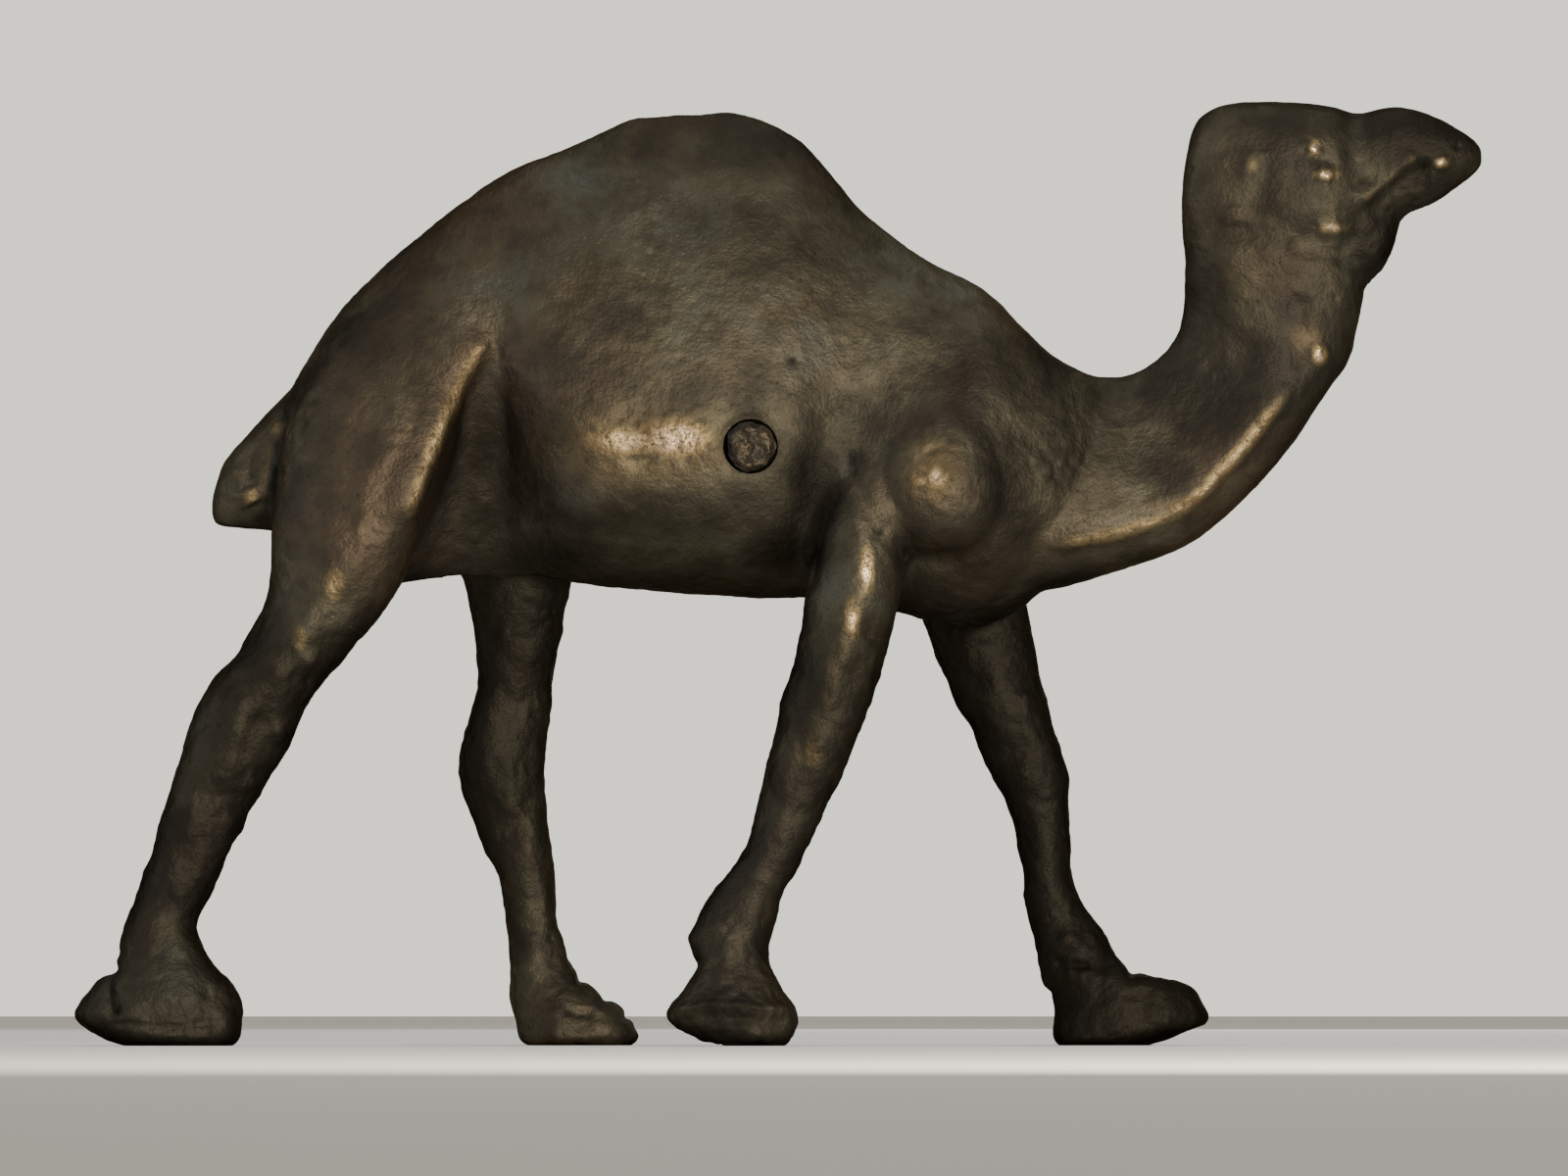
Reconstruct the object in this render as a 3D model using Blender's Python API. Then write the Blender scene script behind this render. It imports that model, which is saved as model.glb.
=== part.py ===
"""Bronze dromedary statuette, cast in sections and pinned together.

The camel walks along +X and stands on z = 0. Its right side faces -Y. The hollow
trunk is two shells that meet on the plane y = 0 and are held by one tie rivet.
The neck with the head, the four legs and the tail are solid castings, and each
is sawn flat where it meets the trunk and located there by a plain dowel.
"""

import math

import bmesh
import bpy
from mathutils import Matrix, Vector

MM = 0.001

# Driving dimensions, in millimetres.
LENGTH = 160.0  # heel of the trailing foot to the nose
HEIGHT = 107.5  # ground to the crown of the head
WIDTH = 32.0  # across the feet
WALL = 2.8  # thickness of the trunk's shells
SEAM_GAP = 0.3  # between the two shells, along y
JOINT_GAP = 0.3  # between sawn faces
BORE_GAP = 0.3  # radial, round the rivet and the dowels
RIVET_DIAMETER = 6.0
RIVET_DOME = 0.5  # how far the hammered ends bulge
RIVET_SINK = 0.3  # the rivet's rim lies this far under the skin
BOSS_WALL = 2.2  # metal round a bore inside the trunk
SHELL_DOWEL_DIAMETER = 3.0
SHELL_DOWEL_LENGTH = 12.0
LEG_DOWEL_DIAMETER = 3.0
LEG_DOWEL_LENGTH = 11.0
NECK_DOWEL_DIAMETER = 4.0
NECK_DOWEL_LENGTH = 16.0
TAIL_DOWEL_DIAMETER = 2.4
TAIL_DOWEL_LENGTH = 7.0
TOE_CLEFT_DEPTH = 2.2
TOE_CLEFT_WIDTH = 1.2

# The shapes below are drawn at these sizes and scaled to the driving ones.
DRAWN_LENGTH, DRAWN_HEIGHT, DRAWN_WIDTH = 160.0, 107.5, 32.0
ALONG = LENGTH / DRAWN_LENGTH
ACROSS = WIDTH / DRAWN_WIDTH
UP = HEIGHT / DRAWN_HEIGHT

TRUNK_SIDES = 24
LIMB_SIDES = 12
FOOT_SIDES = 16
HEAD_SIDES = 16
ROUND_SIDES = 20

# Trunk sections: x, underside, top line, half width, level of the widest point,
# fullness above that level, fullness below it (2 is an ellipse, less is leaner).
TRUNK = [
    (-56.6, 58.0, 67.0, 3.5, 62.5, 2.0, 2.0),
    (-54.2, 54.5, 74.5, 7.6, 64.5, 2.0, 2.0),
    (-50.0, 52.5, 81.4, 10.6, 66.0, 2.0, 2.0),
    (-44.0, 52.5, 88.9, 12.0, 68.0, 1.9, 1.9),
    (-38.0, 53.0, 94.0, 11.6, 72.0, 1.8, 1.6),
    (-32.0, 53.2, 98.7, 11.4, 76.0, 1.7, 1.3),
    (-26.0, 53.0, 101.6, 12.8, 72.0, 1.6, 1.7),
    (-18.0, 52.2, 104.7, 14.3, 69.0, 1.5, 2.0),
    (-11.0, 51.6, 106.0, 14.8, 68.2, 1.45, 2.1),
    (-3.0, 51.2, 105.4, 14.8, 68.1, 1.45, 2.1),
    (4.0, 51.0, 101.2, 14.2, 67.8, 1.5, 2.1),
    (10.0, 50.0, 94.3, 12.8, 67.0, 1.6, 2.0),
    (17.0, 48.6, 89.2, 11.6, 66.0, 1.7, 2.0),
    (23.0, 48.0, 85.6, 10.4, 65.0, 1.8, 2.0),
    (28.0, 50.0, 81.2, 8.6, 64.5, 1.9, 2.0),
    (31.8, 54.0, 77.6, 6.6, 64.5, 2.0, 2.0),
]
HOLLOW_FROM, HOLLOW_TO = 2, 13  # the trunk sections that the core spans

# Neck sections: x, z, half depth, half width.
NECK = [
    (21.0, 63.4, 12.0, 7.8),
    (28.5, 64.2, 12.3, 7.7),
    (35.5, 65.2, 11.3, 7.2),
    (42.0, 66.8, 10.2, 6.5),
    (48.0, 70.4, 9.0, 6.0),
    (53.2, 76.0, 9.2, 5.8),
    (56.2, 83.0, 9.8, 5.7),
    (57.0, 90.0, 10.0, 5.8),
    (57.2, 95.0, 9.0, 5.4),
]
NECK_JOINT = 2.0

# Head sections: x, underside, top line, half width.
HEAD = [
    (46.2, 92.0, 98.5, 2.0),
    (47.4, 88.5, 103.0, 4.0),
    (50.0, 86.0, 106.5, 5.3),
    (54.0, 85.2, 107.5, 5.9),
    (58.5, 85.4, 107.4, 6.2),
    (62.5, 85.6, 107.1, 6.0),
    (66.0, 86.2, 106.5, 5.3),
    (68.4, 88.8, 106.6, 4.8),
    (69.8, 92.2, 106.9, 4.5),
    (71.4, 94.4, 107.0, 4.4),
    (75.2, 95.9, 105.7, 3.9),
    (78.2, 97.8, 103.6, 3.0),
    (80.0, 99.8, 101.8, 1.2),
]

# Limb sections: x, z, half depth, half width, distance from the middle plane.
HIND_RIGHT = [
    (-41.0, 83.0, 5.5, 2.2, 4.6),
    (-43.6, 75.0, 9.4, 5.8, 7.2),
    (-46.2, 66.5, 10.3, 7.0, 8.0),
    (-48.3, 59.0, 9.2, 6.7, 8.5),
    (-50.6, 53.0, 7.5, 6.0, 8.9),
    (-53.6, 47.2, 5.7, 5.1, 9.2),
    (-57.0, 42.6, 4.9, 4.6, 9.4),
    (-60.0, 38.2, 5.5, 4.4, 9.5),
    (-62.0, 34.0, 5.6, 4.2, 9.5),
    (-64.0, 29.5, 4.9, 4.0, 9.5),
    (-66.0, 24.5, 4.3, 3.7, 9.5),
    (-68.0, 19.5, 3.8, 3.5, 9.5),
    (-69.5, 15.0, 3.8, 3.5, 9.5),
    (-70.2, 10.5, 4.6, 4.0, 9.5),
]
HIND_LEFT = [
    (-38.0, 81.0, 5.5, 2.2, 4.8),
    (-34.6, 72.0, 8.8, 5.8, 7.2),
    (-31.0, 61.5, 8.0, 6.3, 8.1),
    (-29.8, 54.5, 6.6, 5.6, 8.7),
    (-29.7, 50.0, 5.5, 5.0, 9.0),
    (-29.8, 44.5, 4.5, 4.4, 9.3),
    (-30.1, 40.0, 4.1, 4.1, 9.5),
    (-31.0, 36.0, 4.5, 4.2, 9.5),
    (-31.6, 32.5, 4.9, 4.2, 9.5),
    (-31.0, 28.5, 4.4, 4.0, 9.5),
    (-29.8, 23.5, 3.7, 3.6, 9.5),
    (-28.6, 18.5, 3.1, 3.3, 9.5),
    (-28.0, 14.0, 2.9, 3.2, 9.5),
    (-27.5, 10.0, 3.2, 3.6, 9.5),
]
FORE_RIGHT = [
    (14.0, 68.0, 4.5, 4.0, 7.5),
    (10.6, 62.5, 4.8, 4.8, 9.2),
    (9.4, 57.0, 5.0, 5.0, 9.8),
    (8.6, 52.0, 5.2, 4.9, 10.0),
    (7.8, 47.0, 5.0, 4.7, 10.0),
    (6.6, 42.0, 4.9, 4.5, 9.9),
    (5.0, 37.5, 4.7, 4.3, 9.8),
    (3.6, 33.0, 4.4, 4.3, 9.7),
    (2.2, 28.5, 4.0, 4.0, 9.6),
    (0.5, 24.0, 3.4, 3.6, 9.5),
    (-1.8, 19.5, 3.2, 3.3, 9.5),
    (-4.2, 15.0, 3.9, 3.5, 9.5),
    (-5.3, 11.5, 4.3, 3.9, 9.5),
    (-5.3, 8.0, 4.2, 4.2, 9.5),
]
FORE_LEFT = [
    (18.5, 66.0, 5.5, 4.0, 7.0),
    (20.5, 58.0, 6.4, 5.2, 8.4),
    (22.2, 51.5, 6.2, 5.2, 9.2),
    (23.6, 46.5, 5.7, 4.9, 9.5),
    (25.2, 41.5, 5.1, 4.6, 9.5),
    (26.9, 37.0, 4.6, 4.4, 9.5),
    (28.4, 33.0, 4.2, 4.2, 9.5),
    (29.7, 29.0, 3.8, 4.0, 9.5),
    (30.5, 24.0, 3.0, 3.5, 9.5),
    (30.9, 19.5, 2.7, 3.2, 9.5),
    (32.0, 15.0, 3.2, 3.4, 9.5),
    (34.0, 11.0, 4.0, 3.9, 9.5),
    (35.0, 8.0, 4.3, 4.2, 9.5),
]

# Foot sections: z, rear end, front end, half width.
FOOT_HIND_RIGHT = [
    (12.0, -74.6, -65.8, 4.0),
    (8.2, -75.9, -63.3, 5.0),
    (5.9, -78.6, -61.4, 5.9),
    (3.7, -80.0, -60.9, 6.4),
    (1.5, -77.6, -61.1, 6.5),
    (0.0, -75.4, -61.9, 6.3),
]
FOOT_HIND_LEFT = [
    (12.0, -30.7, -24.8, 3.4),
    (9.3, -30.6, -23.6, 3.8),
    (7.0, -30.6, -21.8, 4.4),
    (5.2, -30.5, -19.6, 5.2),
    (3.5, -30.4, -17.5, 6.0),
    (1.5, -29.9, -16.1, 6.5),
    (0.0, -29.2, -16.2, 6.3),
]
FOOT_FORE_RIGHT = [
    (10.8, -9.6, -1.2, 3.9),
    (8.2, -9.6, -0.1, 4.6),
    (5.9, -11.2, 0.6, 5.7),
    (3.7, -12.0, 1.7, 6.4),
    (2.0, -12.2, 2.1, 6.5),
    (0.0, -8.6, 1.8, 6.2),
]
FOOT_FORE_LEFT = [
    (13.5, 29.3, 36.4, 3.6),
    (10.4, 30.2, 38.8, 4.2),
    (8.0, 31.1, 41.0, 4.8),
    (6.6, 31.6, 46.6, 5.3),
    (4.8, 31.9, 48.8, 6.0),
    (2.6, 31.7, 49.4, 6.4),
    (1.2, 31.6, 46.4, 6.5),
    (0.0, 31.9, 42.6, 6.3),
]

# Where each leg is sawn off, as a place along its list of sections.
HIND_RIGHT_JOINT = 4.6
HIND_LEFT_JOINT = 4.0
FORE_RIGHT_JOINT = 4.0
FORE_LEFT_JOINT = 3.0

# Tail sections along its length: x, z, half depth, half width.
TAIL = [
    (-51.6, 79.0, 1.6, 2.0),
    (-53.6, 74.3, 1.7, 3.4),
    (-56.2, 69.3, 3.3, 4.6),
    (-58.8, 64.6, 4.4, 5.0),
    (-60.6, 61.0, 4.1, 4.3),
    (-61.6, 59.0, 2.6, 2.8),
]
TAIL_SEAT = ((-52.0, 79.5), (-56.9, 58.0))  # the sawn face, from top to bottom
TAIL_DOWEL_LEVEL = 68.0

# Muscles that stand out of the trunk: x, z, distance from the middle plane,
# half length, half height, half thickness, slope in degrees.
SHOULDER_RIGHT = (18.9, 65.4, 9.6, 8.3, 9.4, 6.0, 20.0)
SHOULDER_LEFT = (19.5, 65.0, 9.6, 8.3, 9.4, 6.0, -10.0)

RIVET_AT = (-3.0, 68.1)
SHELL_DOWELS = {"dowel_rump": (-43.0, 71.0), "dowel_breast": (17.0, 70.0)}

# Head details: x, z, distance from the middle plane, then half sizes and slope.
BROW = (61.4, 101.3, 4.6, 3.0, 1.5, 2.0, -15.0)
EAR = (51.6, 97.6, 4.9, 1.7, 4.6, 1.5, -28.0)
THROAT = (61.6, 80.0, 0.0, 4.2, 4.6, 4.4, 10.0)

BRONZE = ("patinated_bronze", (0.105, 0.082, 0.055), 0.45)
BARE = ("bare_bronze", (0.38, 0.24, 0.12), 0.35)


def clear_scene():
    for old in list(bpy.data.objects):
        bpy.data.objects.remove(old)


def material(name, colour, roughness):
    """A metal with one colour and roughness."""
    made = bpy.data.materials.new(name)
    made.use_nodes = True
    shader = made.node_tree.nodes["Principled BSDF"]
    shader.inputs["Base Color"].default_value = (*colour, 1.0)
    shader.inputs["Metallic"].default_value = 1.0
    shader.inputs["Roughness"].default_value = roughness
    return made


def add_object(name, bm, finish=None):
    """An object in the scene from a bmesh in millimetres. With no finish it is a helper."""
    bmesh.ops.recalc_face_normals(bm, faces=bm.faces)
    bmesh.ops.scale(bm, vec=(MM, MM, MM), verts=bm.verts)
    mesh = bpy.data.meshes.new(name)
    bm.to_mesh(mesh)
    bm.free()
    made = bpy.data.objects.new(name, mesh)
    bpy.context.scene.collection.objects.link(made)
    if finish is None:
        made.hide_render = True
        made.display_type = "WIRE"
    else:
        mesh.materials.append(finish)
        mesh.shade_smooth()
        mesh.set_sharp_from_angle(angle=math.radians(40))
    return made


def combine(target, operation, *tools):
    """Adds one exact Boolean to target for each tool."""
    for tool in tools:
        boolean = target.modifiers.new(tool.name, "BOOLEAN")
        boolean.operation = operation
        boolean.object = tool
    return target


def between(rows, place):
    """The row at a fractional place in a list, on a Catmull-Rom curve through the rows."""
    i = min(int(place), len(rows) - 2)
    t = place - i
    p0, p1 = rows[max(i - 1, 0)], rows[i]
    p2, p3 = rows[i + 1], rows[min(i + 2, len(rows) - 1)]
    return [
        b + 0.5 * t * (c - a + t * (2 * a - 5 * b + 4 * c - d + t * (3 * (b - c) + d - a)))
        for a, b, c, d in zip(p0, p1, p2, p3)
    ]


def places(first, last, per_row):
    """Evenly spread places from first to last, about per_row of them for each row."""
    count = max(2, round((last - first) * per_row) + 1)
    return [first + (last - first) * i / (count - 1) for i in range(count)]


def loft(rings):
    """A closed bmesh through rings of equal size, with a flat cap at each end."""
    bm = bmesh.new()
    verts = [[bm.verts.new(point) for point in ring] for ring in rings]
    sides = len(rings[0])
    for near, far in zip(verts, verts[1:]):
        for i in range(sides):
            j = (i + 1) % sides
            bm.faces.new((near[i], near[j], far[j], far[i]))
    bm.faces.new(verts[0][::-1])
    bm.faces.new(verts[-1])
    return bm


def oval(value, fullness):
    """A cosine or sine reshaped from an ellipse's to a superellipse's."""
    return math.copysign(abs(value) ** (2 / fullness), value)


def trunk_ring(row, inset=0.0):
    """One upright trunk section, leaner above and below its widest level."""
    x, low, high, half, wide, above, below = row
    ring = []
    for i in range(TRUNK_SIDES):
        turn = 2 * math.pi * i / TRUNK_SIDES
        rise, side = math.sin(turn), math.cos(turn)
        full = above if rise > 0 else below
        reach = (high - wide if rise > 0 else wide - low) * UP - inset
        y = (half * ACROSS - inset) * oval(side, full)
        ring.append((x * ALONG, y, wide * UP + reach * oval(rise, full)))
    return ring


def trunk_loft(inset=0.0, first=0, last=len(TRUNK) - 1):
    return loft([trunk_ring(between(TRUNK, p), inset) for p in places(first, last, 2)])


def scaled(row):
    """A limb section at the driving size: centre, half depth and half width."""
    x, z, depth, half, out = row
    centre = Vector((x * ALONG, out * ACROSS, z * UP))
    return centre, depth * ALONG, half * ACROSS


def heading(rows, place):
    """The direction of a path of limb sections at a place."""
    step = 0.05
    ahead = scaled(between(rows, min(place + step, len(rows) - 1)))[0]
    behind = scaled(between(rows, max(place - step, 0)))[0]
    return (ahead - behind).normalized()


def limb_rings(rows, side, first, last, sides=LIMB_SIDES, per_row=1.5):
    """Rings square to a path. side is -1 for the right of the camel and 1 for the left."""
    rings = []
    for place in places(first, last, per_row):
        centre, depth, half = scaled(between(rows, place))
        along = heading(rows, place)
        across = (Vector((0, 1, 0)) - along * along.y).normalized()
        fore = across.cross(along)
        ring = []
        for i in range(sides):
            turn = 2 * math.pi * i / sides
            point = centre + fore * depth * math.cos(turn) + across * half * math.sin(turn)
            ring.append((point.x, point.y * side, point.z))
        rings.append(ring)
    return rings


def gap_place(rows, place, gap):
    """The place a given distance further along a path."""
    here = scaled(between(rows, place))[0]
    ahead = scaled(between(rows, place + 0.2))[0]
    return place + 0.2 * gap / (ahead - here).length


def foot_rings(rows, side, out):
    """Level rings of a foot, whose lowest ring is the flat sole."""
    rings = []
    for place in places(0, len(rows) - 1, 1.4):
        z, rear, front, half = between(rows, place)
        ring = []
        for i in range(FOOT_SIDES):
            turn = 2 * math.pi * i / FOOT_SIDES
            x = (rear + front) / 2 + (front - rear) / 2 * oval(math.cos(turn), 2.3)
            y = out + half * oval(math.sin(turn), 2.3)
            ring.append((x * ALONG, y * ACROSS * side, max(z, 0.0) * UP))
        rings.append(ring)
    return rings


def head_rings():
    rings = []
    for place in places(0, len(HEAD) - 1, 1.5):
        x, low, high, half = between(HEAD, place)
        ring = []
        for i in range(HEAD_SIDES):
            turn = 2 * math.pi * i / HEAD_SIDES
            y = half * ACROSS * oval(math.cos(turn), 2.4)
            z = ((low + high) / 2 + (high - low) / 2 * oval(math.sin(turn), 2.4)) * UP
            ring.append((x * ALONG, y, z))
        rings.append(ring)
    return rings


def lump(name, row, side=-1):
    """An ellipsoid helper for a muscle or a feature of the head."""
    x, z, out, length, height, thick, slope = row
    bm = bmesh.new()
    bmesh.ops.create_uvsphere(bm, u_segments=14, v_segments=9, radius=1.0)
    bmesh.ops.scale(bm, vec=(length, thick, height), verts=bm.verts)
    bmesh.ops.rotate(bm, matrix=Matrix.Rotation(math.radians(slope), 3, "Y"), verts=bm.verts)
    bmesh.ops.translate(bm, vec=(x, out * side, z), verts=bm.verts)
    bmesh.ops.scale(bm, vec=(ALONG, ACROSS, UP), verts=bm.verts)
    return add_object(name, bm)


def rod(name, centre, axis, radius, length, finish=None, dome=0.0):
    """A round bar centred on a point, with ends that may bulge by dome."""
    bm = bmesh.new()
    turn = Vector(axis).to_track_quat("Z", "Y").to_matrix()
    profile = [(radius, 0.0)]
    if dome:
        profile = [(radius, 0.0), (0.72 * radius, 0.62 * dome), (0.36 * radius, 0.92 * dome)]
    rings = []
    for end in (-1, 1):
        for reach, rise in profile if end == 1 else reversed(profile):
            ring = []
            for i in range(ROUND_SIDES):
                angle = 2 * math.pi * i / ROUND_SIDES
                local = Vector((reach * math.cos(angle), reach * math.sin(angle), 0))
                local.z = end * (length / 2 + rise)
                ring.append(Vector(centre) + turn @ local)
            rings.append(ring)
    bm.free()
    return add_object(name, loft(rings), finish)


def block(name, low, high):
    """A box helper between two corners, in millimetres."""
    bm = bmesh.new()
    bmesh.ops.create_cube(bm, size=1.0)
    size = Vector(high) - Vector(low)
    bmesh.ops.scale(bm, vec=size, verts=bm.verts)
    bmesh.ops.translate(bm, vec=Vector(low) + size / 2, verts=bm.verts)
    return add_object(name, bm)


def slab(name, rows, place, side, towards):
    """A box helper whose inner face lies on a limb's joint, on the body's or the foot's side."""
    centre, _, _ = scaled(between(rows, place))
    along = heading(rows, place)
    centre.y *= side
    along.y *= side
    bm = bmesh.new()
    bmesh.ops.create_cube(bm, size=1.0)
    reach = 14.0 * max(ALONG, ACROSS, UP)
    bmesh.ops.scale(bm, vec=(reach, reach, reach), verts=bm.verts)
    bmesh.ops.translate(bm, vec=(0, 0, towards * reach / 2), verts=bm.verts)
    turn = along.to_track_quat("Z", "Y").to_matrix().to_4x4()
    bmesh.ops.transform(bm, matrix=Matrix.Translation(centre) @ turn, verts=bm.verts)
    return add_object(name, bm)


class Leg:
    """One leg: its sections, its side, where it is sawn and the dowel in that joint."""

    def __init__(self, name, rows, foot, side, joint):
        self.name, self.rows, self.foot, self.side, self.joint = name, rows, foot, side, joint
        centre, _, _ = scaled(between(rows, joint))
        along = heading(rows, joint)
        self.centre = Vector((centre.x, centre.y * side, centre.z))
        self.axis = Vector((along.x, along.y * side, along.z))

    def stub(self):
        """The part above the saw cut, which belongs to the trunk."""
        rings = limb_rings(self.rows, self.side, 0, self.joint)
        return add_object(self.name + "_stub", loft(rings))

    def bore(self, owner):
        """The hole for the dowel, as a cutter."""
        radius = LEG_DOWEL_DIAMETER / 2 + BORE_GAP
        length = LEG_DOWEL_LENGTH + 2 * BORE_GAP
        return rod(f"{self.name}_bore_{owner}", self.centre, self.axis, radius, length)

    def build(self, finish):
        start = gap_place(self.rows, self.joint, JOINT_GAP)
        end = len(self.rows) - 1
        rings = limb_rings(self.rows, self.side, start, end)
        leg = add_object(self.name, loft(rings), finish)
        out = self.rows[-1][4]
        foot = add_object(self.name + "_foot", loft(foot_rings(self.foot, self.side, out)))
        combine(leg, "UNION", foot)
        combine(leg, "DIFFERENCE", self.cleft(), self.bore("leg"))
        return leg

    def cleft(self):
        """The notch between the two toes, cut into the front of the foot."""
        level, _, front, _ = self.foot[-3]
        _, _, sole_front, _ = self.foot[-1]
        tip = max(front, sole_front) * ALONG
        centre = self.rows[-1][4] * ACROSS * self.side
        low = (tip - TOE_CLEFT_DEPTH, centre - TOE_CLEFT_WIDTH / 2, -1.0)
        high = (tip + 4.0, centre + TOE_CLEFT_WIDTH / 2, (level + 8.0) * UP)
        return block(self.name + "_cleft", low, high)

    def dowel(self, finish):
        name = "dowel_" + self.name
        return rod(name, self.centre, self.axis, LEG_DOWEL_DIAMETER / 2, LEG_DOWEL_LENGTH, finish)


def neck_rows():
    """The neck's sections as limb sections on the middle plane."""
    return [(*row, 0.0) for row in NECK]


def neck_axis():
    rows = neck_rows()
    return scaled(between(rows, NECK_JOINT))[0], heading(rows, NECK_JOINT)


def neck_bore(owner):
    centre, axis = neck_axis()
    radius = NECK_DOWEL_DIAMETER / 2 + BORE_GAP
    return rod(f"neck_bore_{owner}", centre, axis, radius, NECK_DOWEL_LENGTH + 2 * BORE_GAP)


def build_neck_and_head(finish):
    rows = neck_rows()
    start = gap_place(rows, NECK_JOINT, JOINT_GAP)
    rings = limb_rings(rows, 1, start, len(rows) - 1, sides=HEAD_SIDES, per_row=2)
    neck = add_object("neck_and_head", loft(rings), finish)
    combine(neck, "UNION", add_object("skull", loft(head_rings())))
    combine(neck, "UNION", lump("throat", THROAT))
    for side, hand in ((-1, "right"), (1, "left")):
        combine(neck, "UNION", lump("brow_" + hand, BROW, side), lump("ear_" + hand, EAR, side))
    combine(neck, "DIFFERENCE", neck_bore("head"))
    return neck


def tail_frame():
    """The sawn seat of the tail: its middle at dowel level, and its normal."""
    (top_x, top_z), (low_x, low_z) = TAIL_SEAT
    top = Vector((top_x * ALONG, 0, top_z * UP))
    low = Vector((low_x * ALONG, 0, low_z * UP))
    share = (TAIL_DOWEL_LEVEL * UP - low.z) / (top.z - low.z)
    down = (low - top).normalized()
    return low.lerp(top, share), Vector((down.z, 0, -down.x))


def tail_cutter(name, offset, inward):
    """A box helper on one side of the tail's seat."""
    centre, normal = tail_frame()
    reach = 30.0 * max(ALONG, ACROSS, UP)
    bm = bmesh.new()
    bmesh.ops.create_cube(bm, size=1.0)
    bmesh.ops.scale(bm, vec=(reach, reach, reach), verts=bm.verts)
    bmesh.ops.translate(bm, vec=(0, 0, (-1 if inward else 1) * reach / 2 + offset), verts=bm.verts)
    turn = normal.to_track_quat("Z", "Y").to_matrix().to_4x4()
    bmesh.ops.transform(bm, matrix=Matrix.Translation(centre) @ turn, verts=bm.verts)
    return add_object(name, bm)


def tail_bore(owner):
    centre, normal = tail_frame()
    radius = TAIL_DOWEL_DIAMETER / 2 + BORE_GAP
    return rod(f"tail_bore_{owner}", centre, normal, radius, TAIL_DOWEL_LENGTH + 2 * BORE_GAP)


def build_tail(finish):
    rows = [(*row, 0.0) for row in TAIL]
    tail = add_object("tail", loft(limb_rings(rows, 1, 0, len(rows) - 1, per_row=2)), finish)
    combine(tail, "DIFFERENCE", tail_cutter("tail_inner_side", JOINT_GAP, True))
    combine(tail, "DIFFERENCE", tail_bore("tail"))
    return tail


def trunk_half_width(x, z):
    """How far the trunk's skin lies from the middle plane at a drawn point."""
    xs = [row[0] for row in TRUNK]
    i = max(k for k in range(len(xs) - 1) if xs[k] <= x)
    row = between(TRUNK, i + (x - xs[i]) / (xs[i + 1] - xs[i]))
    _, low, high, half, wide, above, below = row
    share = (z - wide) / (high - wide) if z > wide else (wide - z) / (wide - low)
    full = above if z > wide else below
    return half * (1 - share**full) ** (1 / full) * ACROSS


def core_block():
    """The core that keeps the trunk hollow, with the bosses left out of it."""
    core = add_object("core", trunk_loft(WALL, HOLLOW_FROM, HOLLOW_TO))
    reach = 2 * WIDTH
    spots = {"rivet": (RIVET_AT, RIVET_DIAMETER)}
    spots.update({k: (at, SHELL_DOWEL_DIAMETER) for k, at in SHELL_DOWELS.items()})
    for name, ((x, z), diameter) in spots.items():
        radius = diameter / 2 + BORE_GAP + BOSS_WALL
        at = (x * ALONG, 0, z * UP)
        combine(core, "DIFFERENCE", rod(name + "_boss", at, (0, 1, 0), radius, reach))
    centre, axis = neck_axis()
    radius = NECK_DOWEL_DIAMETER / 2 + BORE_GAP + BOSS_WALL
    combine(core, "DIFFERENCE", rod("neck_boss", centre, axis, radius, NECK_DOWEL_LENGTH + 6))
    centre, normal = tail_frame()
    radius = TAIL_DOWEL_DIAMETER / 2 + BORE_GAP + BOSS_WALL
    combine(core, "DIFFERENCE", rod("tail_boss", centre, normal, radius, TAIL_DOWEL_LENGTH + 6))
    return core


def build_shells(legs, finish):
    """Both halves of the trunk, from one solid that is hollowed, drilled and split."""
    rows = neck_rows()
    rings = limb_rings(rows, 1, 0, NECK_JOINT, sides=HEAD_SIDES, per_row=2)
    additions = [add_object("neck_stub", loft(rings))]
    additions += [leg.stub() for leg in legs]
    additions += [lump("shoulder_right", SHOULDER_RIGHT, -1), lump("shoulder_left", SHOULDER_LEFT, 1)]
    cuts = [tail_cutter("tail_outer_side", 0.0, False), core_block()]
    cuts += [leg.bore("trunk") for leg in legs]
    cuts += [neck_bore("trunk"), tail_bore("trunk")]
    x, z = RIVET_AT
    at = (x * ALONG, 0, z * UP)
    cuts.append(rod("rivet_bore", at, (0, 1, 0), RIVET_DIAMETER / 2 + BORE_GAP, 2 * WIDTH))
    for name, (x, z) in SHELL_DOWELS.items():
        radius = SHELL_DOWEL_DIAMETER / 2 + BORE_GAP
        length = SHELL_DOWEL_LENGTH + 2 * BORE_GAP
        at = (x * ALONG, 0, z * UP)
        cuts.append(rod(name + "_bore", at, (0, 1, 0), radius, length))
    far = 2 * max(LENGTH, HEIGHT)
    halves = {
        "trunk_shell_right": block("right_half", (-far, -far, -far), (far, -SEAM_GAP / 2, far)),
        "trunk_shell_left": block("left_half", (-far, SEAM_GAP / 2, -far), (far, far, far)),
    }
    for name, half in halves.items():
        shell = add_object(name, trunk_loft(), finish)
        combine(shell, "UNION", *additions)
        combine(shell, "DIFFERENCE", *cuts)
        combine(shell, "INTERSECT", half)


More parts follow.
